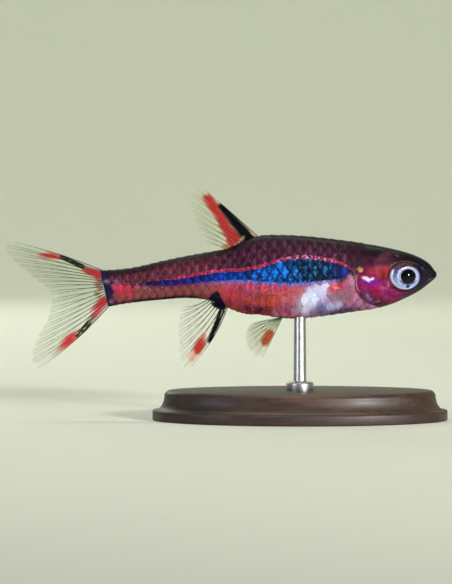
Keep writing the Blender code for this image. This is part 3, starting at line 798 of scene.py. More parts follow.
def fishSkin(name, scaled):
    # Live fish skin: dark colour cells over a silvery layer, under clear wet slime, which gives
    # a soft metal sheen below a sharp gloss
    made, add = newMaterial(name, Coat_Weight=0.06 if scaled else 0.07, **wetSkin["slime"])
    both = partial(overlap, add)
    place = add("TexCoord", out="Object")
    speckle, mottle, ragged, crystal = (
        add("TexNoise", place, Scale=1 / (size * mm), Detail=detail, Roughness=roughness)
        for size, detail, roughness in wetSkin["noises"]
    )
    heart, rim = (add("Attribute", attribute_name=key) for key in ("heart", "rim"))
    (overTop, overFoot, behind), (across, along, chance), (shine, opening, varied), (patch, _, _) = (
        add("SeparateXYZ", add("Attribute", attribute_name=key, out="Vector")).node.outputs
        for key in ("lines", "lie", "finish", "patch")
    )
    runs = {key: [(behind, *ends) for ends in pairs] for key, pairs in wetSkin["runs"].items()}

    # a scale's own pattern: a pale heart, cut off by the root, the rim and the sides
    uneven = add("Math", varied, 0.9, 0.25, operation="MULTIPLY_ADD")
    uneven = add("Math", add("Math", ragged, 0.5, operation="SUBTRACT"), uneven, operation="MULTIPLY")
    outward = add("Math", add("Math", across, uneven, operation="ADD"), operation="ABSOLUTE")
    rear = add("Math", outward, outward, operation="MULTIPLY")
    rear = add("Math", add("Math", rear, 0.10, along, operation="MULTIPLY_ADD"), uneven, operation="ADD")
    byChance = add("Math", chance, 0.5, operation="SUBTRACT")
    width = add("Math", byChance, varied, opening, operation="MULTIPLY_ADD")
    start, end, side = (
        add("Math", width, *line, operation="MULTIPLY_ADD")
        for line in ((-0.40, 0.70), (0.12, 0.86), (0.60, 0.66))
    )
    inner = 1.0
    for more, less, steepness in ((rear, start, 7.0), (end, rear, 7.0), (side, outward, 4.0)):
        depth = add("Math", add("Math", more, less, operation="SUBTRACT"), steepness, operation="MULTIPLY")
        inner = add("Math", depth, inner, operation="MINIMUM")
    inner = both((inner, 0.0, 1.0), add("Math", mottle, 0.7, 0.55, operation="MULTIPLY_ADD"))

    # and painted shading round it: paler towards the free rim, darker at the root under the scale before it
    paintedShading = add("Math", varied, -0.8, 0.44, operation="MULTIPLY_ADD")
    paintedShading = add("Math", opening, 0.5, paintedShading, operation="MULTIPLY_ADD")
    paintedShading = both((rear, 0.42, 0.80), (outward, 1.0, 0.3), mottle, paintedShading)
    inner = add("Math", inner, paintedShading, operation="MAXIMUM")
    pattern = add("Math", 1.0, inner, operation="SUBTRACT", use_clamp=True)
    if not scaled:
        pattern = both((add("Math", mottle, ragged, operation="ADD"), 0.80, 1.30))

    # the blue stripe, its colours by the place along the fish
    first, last = wetSkin["ramp"]
    ramps = [
        setRamp(
            add("ValToRGB", add("MapRange", behind, first, last)),
            [((place - first) / (last - first), code) for place, code in wetSkin[key]],
        )
        for key in ("stripeHearts", "stripeRims")
    ]
    stripeColour = add("Mix", {0: pattern, 6: ramps[0], 7: ramps[1]}, out=2, data_type="RGBA")
    waver = add("Math", mottle, 0.10, -0.05, operation="MULTIPLY_ADD")
    zigzag = add("Math", pattern, 0.12, waver, operation="MULTIPLY_ADD")
    pastTop = add("Math", overTop, waver, operation="ADD")
    pastFoot = add("Math", overFoot, zigzag, operation="SUBTRACT")
    inStripe = both((pastTop, 0.025, -0.025), (pastFoot, -0.03, 0.03), *runs["stripe"])
    outside = add("Math", 1.0, inStripe, operation="SUBTRACT")

    # the pink line over it, in dashes, and the violet row under it, with a toothed edge
    pinkWidth = wetSkin["pinkLine"]
    dashes = add("Math", ragged, 2.8, -0.78, operation="MULTIPLY_ADD")
    dashes = add("Math", inner, 0.35, dashes, operation="MULTIPLY_ADD")
    pinkLine = both(
        (pastTop, 0.0, 0.04), (pastTop, pinkWidth + 0.03, pinkWidth - 0.03), *runs["pinkLine"], dashes
    )
    pinkLine = add("Math", pinkLine, 1.0, operation="MINIMUM")
    teeth = add("Math", ragged, 0.14, overFoot, operation="MULTIPLY_ADD")
    teeth = add("Math", pattern, 0.12, teeth, operation="MULTIPLY_ADD")
    violetRow = both(
        (pastFoot, 0.01, -0.04), (teeth, 0.0, wetSkin["violetRow"]), *runs["violetRow"],
        add("Math", ragged, 1.6, -0.05, operation="MULTIPLY_ADD"),
    )
    violetRow = add("Math", violetRow, 0.9, operation="MINIMUM")

    # the black patch over the anal fin, its edge slightly uneven
    gap = add("Math", patch, 0.08, operation="SUBTRACT")
    inPatch = both((add("Math", ragged, 0.16, gap, operation="MULTIPLY_ADD"), 0.04, -0.04))

    # painted sparkles where crystals in the stripe's front catch the light, purple patches and pale specks
    # under it, and lilac bits in the pink line's highest part
    crystalSparkles = both((crystal, 0.62, 0.78), inner, inStripe, *runs["crystalSparkles"])
    purple = both((mottle, 0.50, 0.64), (overFoot, -0.1, -0.4), *runs["purple"], 0.55)
    specks = both(
        (speckle, 0.60, 0.72), (ragged, 0.50, 0.62), (overFoot, -0.05, -0.2), outside,
        *runs["specks"], 0.75,
    )
    lilac = both(
        (ragged, 0.52, 0.62), (pastTop, -0.04, 0.03), (pastTop, 0.26, 0.14), *runs["lilac"], 0.65
    )

    # red and violet cells lie unevenly, away from the stripe, the silver and the black patch
    plain = both(outside, (shine, 0.22, 0.14), add("Math", 1.0, inPatch, operation="SUBTRACT"))
    redder = both((ragged, 0.56, 0.72), plain, 0.35)
    bluer = both((ragged, 0.46, 0.30), plain, 0.40)

    # dark cells in it, and each scale a little lighter or darker
    cells = both((speckle, 0.62, 0.38), (shine, 0.24, 0.14))
    level = add("Math", cells, -0.30, 1.0, operation="MULTIPLY_ADD")
    if scaled:
        contrast = add("Math", inStripe, 0.7, 0.5, operation="MULTIPLY_ADD")
        level = both(add("Math", byChance, contrast, 1.0, operation="MULTIPLY_ADD"), level)
    base, codes = heart, wetSkin["colours"]
    for mask, colour, blend in (
        (pattern, rim, "MIX"),
        (inStripe, stripeColour, "MIX"),
        (pinkLine, setRamp(add("ValToRGB", ragged), wetSkin["pinks"]), "MIX"),
        (violetRow, codes["violetRow"], "MIX"),
        (inPatch, codes["patch"], "MIX"),
        (crystalSparkles, codes["crystalSparkles"], "MIX"),
        (purple, codes["purple"], "MIX"),
        (specks, codes["specks"], "MIX"),
        (lilac, codes["lilac"], "MIX"),
        (redder, codes["redder"], "SOFT_LIGHT"),
        (bluer, codes["bluer"], "MULTIPLY"),
        (1.0, add("CombineColor", level, level, level), "MULTIPLY"),
    ):
        base = add("Mix", {0: mask, 6: base, 7: colour}, out=2, data_type="RGBA", blend_type=blend)

    # silver under the colour, and fine ridges along each scale
    bright = both(inStripe, add("Math", 1.0, pattern, operation="SUBTRACT"), 0.14)
    ridges = add("Math", across, wetSkin["ridges"], operation="MULTIPLY")
    ridges = add("Math", ridges, operation="SINE")
    ground = add("Math", ridges, 0.25, speckle, operation="MULTIPLY_ADD")
    return leadTo(
        made, Base_Color=base, Metallic=add("Math", shine, bright, operation="ADD", use_clamp=True),
        Roughness=add("Math", mottle, 0.20, 0.36, operation="MULTIPLY_ADD"),
        Normal=add("Bump", Strength=0.35, Distance=0.012 * mm, Height=ground),
    )


skinFinish = fishSkin("wet fish skin", False)
scaleFinish = fishSkin("wet fish scales", True)
print("skin materials made")


# Skin: one closed surface over head, trunk and tail stalk

def makeSkin():
    rings, sides = plainGrid.shape[:2]
    behind, height = plainGrid[..., 0], plainGrid[..., 2]
    sideShare = np.broadcast_to(rise(np.abs(np.sin(ringTurns)), 0.05, 0.35), (rings, sides))
    lift = np.zeros((rings, sides))
    near = ringPlaces < head["end"]
    lift[near] = headRelief(behind[near], height[near]) * sideShare[near]
    behindGill = rise(behind - gillMargin(height), -0.02, 0.06)
    lift -= body["coatDepth"] * np.where(height > 0.75, rise(behind, 3.4, 4.3), behindGill)
    points = plainGrid + plainNormals * lift[..., None]
    points[near] = sinkOrbit(points[near])
    flat = points.reshape(-1, 3)
    nose = [0, 0, body["outline"][0][1]]
    places = np.concatenate([flat, [nose, flat[-sides:].mean(0)]])

    # unwrapped as a sheet: along the fish, and round it from the back's midline
    i, j = (grid.ravel() for grid in np.meshgrid(np.arange(rings - 1), np.arange(sides), indexing="ij"))
    ring, turn = np.stack([i, i, i + 1, i + 1], -1), np.stack([j, j + 1, j + 1, j], -1)
    u = onMap(ringPlaces / ringPlaces[-1])
    faces = (ring * sides + turn % sides).tolist()
    uvs = [np.stack([u[ring], onMap(turn / sides)], -1).reshape(-1, 2)]

    # and closed at the nose and at the tail by a fan of triangles
    around = np.arange(sides)
    for pole, ring, turns, end in (
        (rings * sides, 0, (around + 1, around), body["mapEnds"][0]),
        (rings * sides + 1, rings - 1, (around, around + 1), body["mapEnds"][1]),
    ):
        faces += [(pole, ring * sides + a % sides, ring * sides + b % sides) for a, b in zip(*turns)]
        level = np.stack([around + 0.5, *turns], -1) / sides
        along = np.broadcast_to([end, u[ring], u[ring]], level.shape)
        uvs.append(np.stack([along, onMap(level)], -1).reshape(-1, 2))
    heart, rim, finish = markings(places)
    lie = np.tile([0.0, 0.6, 0.5], (len(places), 1))
    made = makeMesh(
        "fish_skin_surface", places, faces, {"heart": heart, "rim": rim},
        {**fieldsAt(places), "lie": lie, "finish": finish}, np.concatenate(uvs),
    )
    made.data.materials.append(skinFinish)
    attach(made, "root")
    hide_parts("head", "trunk", "tail_stalk")


makeSkin()
print("skin made")


# Scales: each is a thin closed plate, its root under the skin and its rear rim free

scales = {
    # behind, and the distance in mm from one scale to the next along the fish
    "pitch": (
        (3.4, 0.46), (5.0, 0.52), (6.5, 0.54), (9.5, 0.54), (12.0, 0.50), (15.0, 0.46), (18.0, 0.38),
    ),
    # and from one row to the next
    "rowPitch": (
        (3.4, 0.36), (5.0, 0.385), (7.0, 0.40), (10.0, 0.38), (12.5, 0.33), (15.0, 0.28), (18.0, 0.235),
    ),
    # and the height of the middle row
    "middleRow": ((3.4, 0.10), (7.4, 0.24), (10.0, 0.0), (12.5, -0.12), (15.0, -0.36), (18.0, -0.62)),
    "rows": (-12, 16),  # from the middle row, tried up and down to the midlines
    "from": 3.0,
    "to": 18.2,
    "finGap": (9.3, 11.6),  # none on the dorsal fin's root
    "ventGap": (11.2, 12.6),  # nor along the vent, up to the height over the belly
    "ventHeight": 0.1,
    "length": 1.62,  # in pitches
    "lengthVaries": 0.03,
    "width": 1.06,  # half of it, in row pitches
    "roundness": 0.52,  # how far the rear rim curves, in pitches
    "thickness": 0.012,
    "rootSunk": 0.048,
    "tipRise": 0.014,
    "dome": 0.014,
    "across": 6,  # faces across a scale
    "along": 3,
    "ownColour": 0.35,  # how far a scale has one colour, not the pattern's
    "chance": 0.33,  # how far that colour differs by chance
    "column": 0.17,  # and from column to column
    "patch": 0.003,  # a scale's size on the bake map
    "seed": 7,
}
pitchAt, rowPitchAt, middleRowAt = (curveOf(scales[key]) for key in ("pitch", "rowPitch", "middleRow"))

# arcs from the back's midline down the left side, for each ring
halfSides = body["sides"] // 2
leftHalf = plainGrid[:, : halfSides + 1]
arcSteps = np.linalg.norm(np.diff(leftHalf, axis=1), axis=-1)
arcs = np.concatenate([np.zeros((len(ringPlaces), 1)), np.cumsum(arcSteps, axis=1)], axis=1)


def ringShare(behind):
    return np.interp(behind, ringPlaces, np.arange(len(ringPlaces)))


def bellyArc(behind):
    # the arc from the back's midline to the belly's
    return np.interp(behind, ringPlaces, arcs[:, -1])


def arcOfHeight(behind, height):
    ring = int(round(float(ringShare(behind))))
    return float(np.interp(-height, -leftHalf[ring, :, 2], arcs[ring]))


def onBody(behind, arc):
    # a point of the plain body and its normal, from the place along it and the arc from the back
    side = np.where(arc < 0, -1.0, 1.0)
    ring = ringShare(behind)
    low = np.clip(np.floor(ring).astype(int), 0, len(ringPlaces) - 2)
    share = (ring - low)[:, None]
    table = arcs[low] * (1 - share) + arcs[low + 1] * share
    whole = table[:, -1]
    length = np.abs(arc)
    past = length > whole
    side = np.where(past, -side, side)
    length = np.where(past, 2 * whole - length, length)
    turn = np.clip((table <= length[:, None]).sum(1) - 1, 0, halfSides - 1)
    rows = np.arange(len(turn))
    start, end = table[rows, turn], table[rows, turn + 1]
    part = ((length - start) / np.maximum(end - start, 1e-9))[:, None]

    def between(grid):
        near = grid[low, turn] * (1 - part) + grid[low, turn + 1] * part
        far = grid[low + 1, turn] * (1 - part) + grid[low + 1, turn + 1] * part
        return near * (1 - share) + far * share

    point, normal = between(plainGrid), between(plainNormals)
    normal /= np.linalg.norm(normal, axis=1, keepdims=True)
    mirror = np.stack([np.ones_like(side), side, np.ones_like(side)], 1)
    return point * mirror, normal * mirror


def scalePlaces():
    # the left side's scales, by the root's place, its arc and the column; rows set half a pitch on
    columns = [scales["from"]]
    while columns[-1] < scales["to"]:
        columns.append(columns[-1] + float(pitchAt(columns[-1])) / 2)
    found = []
    for column, behind in enumerate(columns):
        rowPitch = float(rowPitchAt(behind))
        middle = arcOfHeight(behind, float(middleRowAt(behind)))
        whole = float(bellyArc(behind))
        for row in range(*scales["rows"]):
            arc = middle + row * rowPitch
            if (row + column) % 2 == 0 and 0.45 * rowPitch < arc < whole - 0.45 * rowPitch:
                found.append((behind, arc, column))
        if column % 2 == 0:
            found.append((behind, 0.0, column))
            found.append((behind, whole, column))
    return found


def wanted(behind, arc):
    # whether a scale's shown part lies behind the gill cover and before the tail fin, and clear
    # of the dorsal fin's root and of the vent
    shown, _ = onBody(np.array([behind + float(pitchAt(behind))]), np.array([arc]))
    place, height = shown[0, 0], shown[0, 2]
    if height < 0.75:
        start = float(gillMargin(np.array(height)))
    else:
        start = 4.1 - 0.5 * float(rise(height, 1.1, 1.85))
    onFinRoot = arc == 0.0 and scales["finGap"][0] < place < scales["finGap"][1]
    low = arc > 1 and height < float(bottomAt(math.sqrt(place))) + scales["ventHeight"]
    onVent = low and scales["ventGap"][0] < place < scales["ventGap"][1]
    return start + 0.05 < place < tailEdge(height) - 0.02 and not onFinRoot and not onVent


def makeScale(behind, arc, column, rng):
    # the points of one plate, how each lies in it, and the plate's place for its own colour
    across, along = np.meshgrid(
        np.linspace(-1, 1, scales["across"] + 1), np.linspace(0, 1, scales["along"] + 1), indexing="ij"
    )
    pitch = float(pitchAt(behind))
    varies = scales["lengthVaries"]
    length = pitch * scales["length"] * rng.uniform(1 - varies, 1 + varies)
    chance = 0.5 + rng.uniform(-scales["chance"], scales["chance"])
    chance += -scales["column"] if column % 2 else scales["column"]
    curve = 1 - np.sqrt(np.clip(1 - (0.97 * across) ** 2, 0, 1))
    reach = along * (length - pitch * scales["roundness"] * curve)
    half = float(rowPitchAt(behind)) * scales["width"]
    spread = half * (0.78 + 0.22 * np.sin(along * math.pi * 0.62))
    point, normal = onBody((behind + reach).ravel(), (arc + across * spread).ravel())
    part = (reach / length).ravel()
    lift = -scales["rootSunk"] + (scales["rootSunk"] + scales["tipRise"]) * part
    lift = lift - scales["dome"] * across.ravel() ** 2 * part
    plate = [point + normal * (lift - depth)[:, None] for depth in (0, scales["thickness"])]
    lie = np.stack([across.ravel(), along.ravel(), np.full(across.size, chance)], 1)
    centre, _ = onBody(np.array([behind + 0.66 * length]), np.array([arc]))
    return np.concatenate(plate), np.concatenate([lie, lie]), centre


def makeScales():
    rng = np.random.default_rng(scales["seed"])
    roots = [(behind, arc, column) for behind, arc, column in scalePlaces() if wanted(behind, arc)]
    plates = [(*root[:2], *makeScale(*root, rng)) for root in roots]
    print("scales on the left side", len(plates))
    faces = np.array(plateFaces(scales["across"], scales["along"]))
    for side, name in ((1, "left"), (-1, "right")):
        # the midlines' scales belong to the left
        kept = [p for p in plates if side > 0 or (p[1] != 0.0 and abs(p[4][0, 1]) > 0.02)]
        behind, arc, places, lies, centres = (np.array(column) for column in zip(*kept))
        points = places.shape[1]
        places, lies = places.reshape(-1, 3) * (1, side, 1), lies.reshape(-1, 3)
        quads = (faces + points * np.arange(len(kept))[:, None, None]).reshape(-1, 4)[:, ::side]
        own, share = markings(np.repeat(centres[:, 0], points, 0)), scales["ownColour"]
        heart, rim, finish = (share * a + (1 - share) * b for a, b in zip(own, markings(places)))
        root = onMap(np.stack([behind / ringPlaces[-1], arc / bellyArc(behind)], 1))
        loose = np.stack([lies[:, 1] - 0.5, lies[:, 0] * 0.5], 1) * scales["patch"]
        made = makeMesh(
            "fish_scales_" + name, places, quads.tolist(), {"heart": heart, "rim": rim},
            {**fieldsAt(places), "lie": lies, "finish": finish},
            (np.repeat(root, points, 0) + loose)[quads.ravel()],
        )
        made.data.set_sharp_from_angle(angle=math.radians(50))
        made.data.materials.append(scaleFinish)
        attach(made, "root")


makeScales()
print("scales made")


# Eyes: a wet ball with a silver iris and a lens that stands out of the pupil

def eyeMaterial():
    # Fish eye: guanine silver iris behind a clear wet cornea, so a sharp gloss over soft silver
    made, add = newMaterial(
        "wet silver eye", Coat_Weight=0.7, Coat_Roughness=0.02, Coat_IOR=1.36, Roughness=0.35,
        Specular_IOR_Level=0.0,
    )
    both = partial(overlap, add)
    gaze = add("Attribute", attribute_name="gaze", out="Vector")
    back, up, radius = add("SeparateXYZ", gaze).node.outputs
    fine = add("TexNoise", add("TexCoord", out="Object"), Scale=1 / (eye["grain"] * mm), Detail=3.0)

    # how far from the pupil's centre and from the mark under it, and noise that runs round it
    fromPupil = add("Math", back, eye["pupil"][0], operation="SUBTRACT")
    square = add("Math", fromPupil, fromPupil, operation="MULTIPLY")
    gap, markGap = (
        add("Math", add("Math", height, height, square, operation="MULTIPLY_ADD"), operation="SQRT")
        for height in (up, add("Math", up, eye["markBelow"], operation="ADD"))
    )
    angle = add("Math", up, fromPupil, operation="ARCTAN2")
    circle = (add("Math", angle, operation=way) for way in ("COSINE", "SINE"))
    uneven = add("TexNoise", add("CombineXYZ", *circle), Scale=6.0, Detail=3.0)
    uneven = add("Math", uneven, 0.16, -0.08, operation="MULTIPLY_ADD")
    unevenGap = add("Math", gap, uneven, operation="ADD")

    # silver round the pupil, then a bluish ring, gold above, a pale rim below and blue-black marks
    bluer = add("Math", up, -0.5, 0.1, operation="MULTIPLY_ADD")
    bluer = add("Math", fine, 0.7, bluer, operation="MULTIPLY_ADD")
    silver, bluish, gold = (
        setRamp(add("ValToRGB", value), eye[key])
        for value, key in ((fine, "silver"), (bluer, "bluish"), (fine, "gold"))
    )
    hugging = both((gap, 0.60, 0.52), (up, -0.20, -0.34), (fine, 0.38, 0.48))
    low = both((markGap, 0.14, 0.08), (fine, 0.36, 0.46))
    pupil = both((gap, eye["pupilRadius"] + 0.012, eye["pupilRadius"] - 0.012))
    rearFoot = add("Math", back, up, operation="SUBTRACT")
    base = silver
    for mask, colour in (
        (both((unevenGap, 0.59, 0.68)), bluish),
        (both((up, 0.38, 0.62), (unevenGap, 0.54, 0.64)), gold),
        (both((radius, 0.71, 0.76), (rearFoot, 0.10, 0.45)), eye["rimColour"]),
        (add("Math", hugging, low, operation="MAXIMUM"), eye["markColour"]),
        (pupil, eye["pupilColour"]),
    ):
        base = add("Mix", {0: mask, 6: base, 7: colour}, out=2, data_type="RGBA")
    return leadTo(
        made, Base_Color=base, Metallic=add("Math", pupil, -0.2, 0.2, operation="MULTIPLY_ADD"),
        Normal=add("Bump", Strength=0.3, Distance=0.01 * mm, Height=fine),
    )


def makeEyes():
    finish = eyeMaterial()
    for side, name in ((-1, "right"), (1, "left")):
        bpy.ops.object.select_all(action="DESELECT")
        bpy.ops.mesh.primitive_uv_sphere_add(segments=eye["segments"], ring_count=eye["rings"], radius=1)
        made = bpy.context.object
        made.name = "fish_eye_" + name
        made.rotation_euler = (math.pi / 2 * -side, 0, 0)
        bpy.ops.object.transform_apply(rotation=True)

        # the ball's pole now looks out sideways; its points become a lens-shaped eye
        form = np.array([v.co[:] for v in made.data.vertices])
        back, up = -form[:, 0] * eye["radius"], form[:, 2] * eye["radius"]
        depth = form[:, 1] * side * eye["halfDepth"]
        gap = np.hypot(back - eye["pupil"][0], up - eye["pupil"][1])
        front = depth > 0
        depth = depth + front * eye["lensRise"] * hump(gap, eye["pupilRadius"] * 1.05)
        depth = depth - front * eye["ringSunk"] * hump(gap - eye["pupilRadius"] - 0.07, 0.09)
        axis = eyeAxis * (1, side, 1)
        rearward = np.array([axis[1] * side, -axis[0] * side, 0.0])
        upward = np.array([0, 0, eye["tall"]])
        places = eyeCentre * (1, side, 1) + depth[:, None] * axis
        places = places + back[:, None] * rearward + up[:, None] * upward
        made.data.vertices.foreach_set("co", toWorld(places).ravel())
        layer = made.data.attributes.new("gaze", "FLOAT_VECTOR", "POINT")
        layer.data.foreach_set("vector", np.stack([back, up, np.hypot(back, up)], 1).ravel())
        bpy.ops.object.mode_set(mode="EDIT")
        bpy.ops.mesh.select_all(action="SELECT")
        bpy.ops.mesh.normals_make_consistent(inside=False)
        bpy.ops.object.mode_set(mode="OBJECT")
        bpy.ops.object.shade_smooth()
        made.data.materials.append(finish)
        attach(made, "root")
        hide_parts("eye_" + name)


makeEyes()
print("eyes made")


# Fins: a thin clear web with bony rays, which fork but for the whole ones. Tips run along the
# far edge from the first ray to the last, and a bend moves the middle of a ray's curve. Web and
# bone are a colour and how much it covers. A fin's marks are painted in order: shape with its
# numbers, strength, colour, how much it covers, and the colour of the rays in it.

fins = {
    "webHalf": 0.014,  # half the web's thickness
    "rayRadius": 0.040,
    "rayTip": 0.010,
    "rayFaces": 5,  # round a ray
    "firstFork": 0.34,  # shares of the length where a ray forks
    "secondFork": 0.66,
    "forkSpread": 0.17,  # how far its branches part, in rays
    "notch": 0.035,  # how far the web falls short of the rays' tips, as a share
    "rootShare": 0.15,  # a negative share of the length that stands for the part in the body
    "anchor": 0.4,  # mm that this part reaches in
    "webRows": 56,
    "webColumns": 4,  # between two rays
    "wave": 0.035,  # mm that a fin leaves its plane
}
dorsal = {
    "rays": 9, "whole": (0, 1), "root": (9.68, 11.47), "bends": ((0.0, 0.0), (0.0, 0.15)),
    "tips": (
        (12.61, 4.74), (13.10, 4.80), (13.26, 4.12), (13.15, 3.42), (12.93, 2.77), (12.66, 2.17),
        (12.44, 1.80),
    ),
    "web": ("a8b07c", 0.12), "bone": ("586044", 0.30),
    "marks": (
        (spot, ((11.10, 1.78), (0.48, 0.24), -32, 0.6), 1, "a84c1c", 0.85, "c08040"),
        (streak, ((10.90, 2.05), (12.42, 4.25), (0.25, 0.22), 0.7), 1, "a00a10", 0.93, "c04c3c"),
        (streak, ((10.98, 1.98), (11.78, 2.95), (0.28, 0.13), 0.7), 1, "980810", 0.93, "b84438"),
        (streak, ((10.12, 2.0), (11.66, 3.78), (0.30, 0.15)), 1, "06070e", 0.97, "06070e"),
        (spot, ((10.54, 2.04), (0.13, 0.05), -50, 0.8), 0.4, "b8a870", 0.9, "b8a870"),
        (spot, ((9.85, 2.33), (0.22, 0.16), 30), 1, "a09080", 0.6, "a09080"),
    ),
}
anal = {
    "rays": 9, "whole": (0, 1), "root": (11.34, 12.42), "bends": ((-0.46, 0.0), (0.0, -0.15)),
    "tips": (
        (13.26, -4.88), (13.66, -4.96), (13.88, -4.40), (13.95, -3.60), (13.96, -2.90),
        (13.92, -2.30), (13.80, -1.80),
    ),
    "web": ("b4b8a4", 0.11), "bone": ("34382c", 0.46),
    "marks": (
        (streak, ((13.0, -4.1), (13.32, -4.5), (0.18, 0.12), 0.8), 0.5, "c86850", 0.65, "d8a080"),
        (spot, ((12.62, -3.34), (0.20, 0.12), -60, 0.7), 0.8, "b04a20", 0.8, "b86840"),
        (streak, ((12.76, -3.60), (12.98, -3.98), (0.18, 0.18), 0.7), 1, "a8140c", 0.94, "b8401c"),
        (
            streaks, (
                ((11.70, -1.86), (12.32, -3.52), (0.075, 0.10), 0.35),
                ((11.50, -1.90), (12.24, -3.50), (0.05, 0.08), 0.35),
            ), 1, "08090c", 0.96, "08090c",
        ),
        (spot, ((11.80, -1.63), (0.42, 0.16), 22, 0.15), 1, "080a1c", 0.96, "080a1c"),
    ),
}
tail = {
    "whole": (0, 18), "split": 9.5,  # its halves part between two rays
    "web": ("8a9c70", 0.13), "bone": ("343c28", 0.40),
    "marks": (
        (streak, ((18.22, 0.02), (18.36, -1.0), (0.20, 0.12), 0.9), 1, "6c3430", 0.6, "70403a"),
        (streak, ((18.35, 0.10), (19.05, 0.36), (0.22, 0.12), 0.75), 1, "981c24", 0.92, "a83038"),
        (spot, ((20.98, 1.10), (0.50, 0.19), 4, 0.7), 1, "a8181a", 0.94, "b03028"),
        (
            streaks, pairAlong((19.15, 0.50), (20.35, 1.04), 0.065, (0.055, 0.055), 0.4),
            1, "080a06", 0.95, "080a06",
        ),
        (streak, ((18.05, -1.40), (18.55, -2.12), (0.24, 0.20), 0.7), 1, "a01824", 0.92, "a83038"),
        (spot, ((18.75, -2.42), (0.26, 0.16), -50, 0.8), 0.6, "5c2c20", 0.7, "5c2c20"),
        (spot, ((20.55, -4.10), (0.34, 0.10), -40, 0.9), 0.45, "7c5c38", 0.5, "7c5c38"),
        (spot, ((19.92, -3.55), (0.56, 0.19), -43, 0.75), 1, "b40c1c", 0.95, "c03028"),
        (
            streaks, pairAlong((18.85, -2.55), (19.45, -3.32), 0.08, (0.06, 0.06), 0.4),
            1, "080a08", 0.95, "080a08",
        ),
        (spot, ((18.38, -0.80), (0.06, 0.10), 0), 1, "a09868", 0.6, "a09868"),
    ),
}
tailUpper = {
    "rays": 10, "root": (0.33, -0.58), "bends": ((0.0, 0.22), (0.0, 0.06)),
    "tips": (
        (22.85, 1.83), (23.35, 1.55), (23.00, 0.98), (22.58, 0.54), (22.04, 0.11), (21.61, -0.24),
        (21.20, -0.58), (20.92, -0.92),
    ),
}
tailLower = {
    "rays": 9, "root": (-0.70, -1.62), "bends": ((0.0, 0.0), (0.0, -0.50)),
    "tips": (
        (20.86, -1.36), (20.95, -1.85), (21.12, -2.40), (21.42, -2.95), (21.72, -3.58),
        (21.88, -4.12), (21.90, -4.65), (21.61, -5.02),
    ),
}
pelvic = {
    "rays": 7, "whole": (0,), "root": ((8.42, -2.37), (8.80, -2.35)),
    "bends": ((0.0, 0.0), (0.0, 0.10)),
    "tips": (
        (9.45, -4.52), (9.88, -4.38), (10.16, -4.02), (10.30, -3.56), (10.30, -3.10), (10.12, -2.72),
    ),
    # how far it stands from the middle, its turn in degrees, and how far its root is drawn in
    "out": 0.45, "turn": 20.0, "axis": "X", "inward": 0.1,
    "web": ("a0a878", 0.10), "bone": ("505a3c", 0.28),
    "marks": (
        (streak, ((9.02, -3.16), (9.28, -3.64), (0.15, 0.17), 0.9), 1, "a03c18", 0.72, "a86838"),
    ),
}
pectoral = {
    "rays": 9, "whole": (0,), "root": ((4.86, -0.80), (4.96, -1.30)),
    "bends": ((0.0, 0.10), (0.0, -0.05)),
    "tips": (
        (7.65, -0.95), (7.80, -1.40), (7.55, -1.80), (7.15, -2.05), (6.65, -2.15), (6.20, -2.05),
    ),
    "out": 0.55, "turn": 26.0, "axis": "Z", "inward": 0.65, "calm": 0.6,  # less of the wave
    "web": ("d8d8d8", 0.015), "bone": ("b8b0b8", 0.055), "marks": (),
}
# the pectoral fins stand out from the flank
pectoral["out"] += float(flank(*(np.array(v) for v in np.mean(pectoral["root"], axis=0))))


def raysOf(fin, rootAt):
    # three control points for each ray: root, middle and tip
    edge = pathThrough(fin["tips"])
    share = np.linspace(0, 1, fin["rays"])
    root, tip = rootAt(share), edge(share)
    bend = np.outer(1 - share, fin["bends"][0]) + np.outer(share, fin["bends"][1])
    return np.stack([root, (root + tip) / 2 + bend, tip], 1)


def outlineRoot(fin, edgeAt, away, share):
    behind = fin["root"][0] + (fin["root"][1] - fin["root"][0]) * share
    return np.stack([behind, edgeAt(np.sqrt(behind)) - away * 0.02], -1)


def tailRoot(fin, share):
    height = fin["root"][0] + (fin["root"][1] - fin["root"][0]) * share
    return np.stack([tailEdge(height), height], -1)


def straightRoot(fin, share):
    start, end = (np.array(p) for p in fin["root"])
    return start + np.outer(share, end - start)


def fanOf(rays):
    # the fan's surface: a point for each place, counted in rays, and each share of the length
    index = np.arange(len(rays))
    curves = [[curveThrough(index, rays[:, k, c]) for c in (0, 1)] for k in range(3)]

    def at(place, t):
        place, t = np.broadcast_arrays(np.asarray(place, float), np.asarray(t, float))
        root, middle, tip = (np.stack([c(place) for c in pair], -1) for pair in curves)
        held = np.clip(t, 0, None)[..., None]
        point = root * (1 - held) ** 2 + middle * (2 * held * (1 - held)) + tip * held**2
        ahead = (middle - root) / np.linalg.norm(middle - root, axis=-1, keepdims=True)
        under = np.clip(-t, 0, None)[..., None] / fins["rootShare"]
        return point - ahead * under * fins["anchor"]

    return at


def waveOf(place, t):
    # how far the fin leaves its plane
    t = np.clip(t, 0, 1)
    return fins["wave"] * t * (np.sin(0.9 * place + 2.2 * t) + 0.35 * np.sin(2.3 * place - 3 * t))


def rayPaths(count, whole):
    # each bony ray as stretches: places at start and end, start, end, thickness at both
    paths = []
    thick, thin = fins["rayRadius"], fins["rayTip"]
    first, second, spread = fins["firstFork"], fins["secondFork"], fins["forkSpread"]
    inside = -fins["rootShare"]
    for ray in range(count):
        if ray in whole:
            paths.append((ray, ray, inside, 1.0, thick * 1.15, thin * 1.3))
            continue
        paths.append((ray, ray, inside, first, thick, thick * 0.72))
        for way in (-1, 1):
            forked = ray + way * spread
            paths.append((ray, forked, first, second, thick * 0.55, thick * 0.42))
            for turn in (-1, 1):
                end = forked + turn * spread * 0.55 + way * 0.05
                paths.append((forked, end, second, 1.0, thick * 0.32, thin))
    return paths


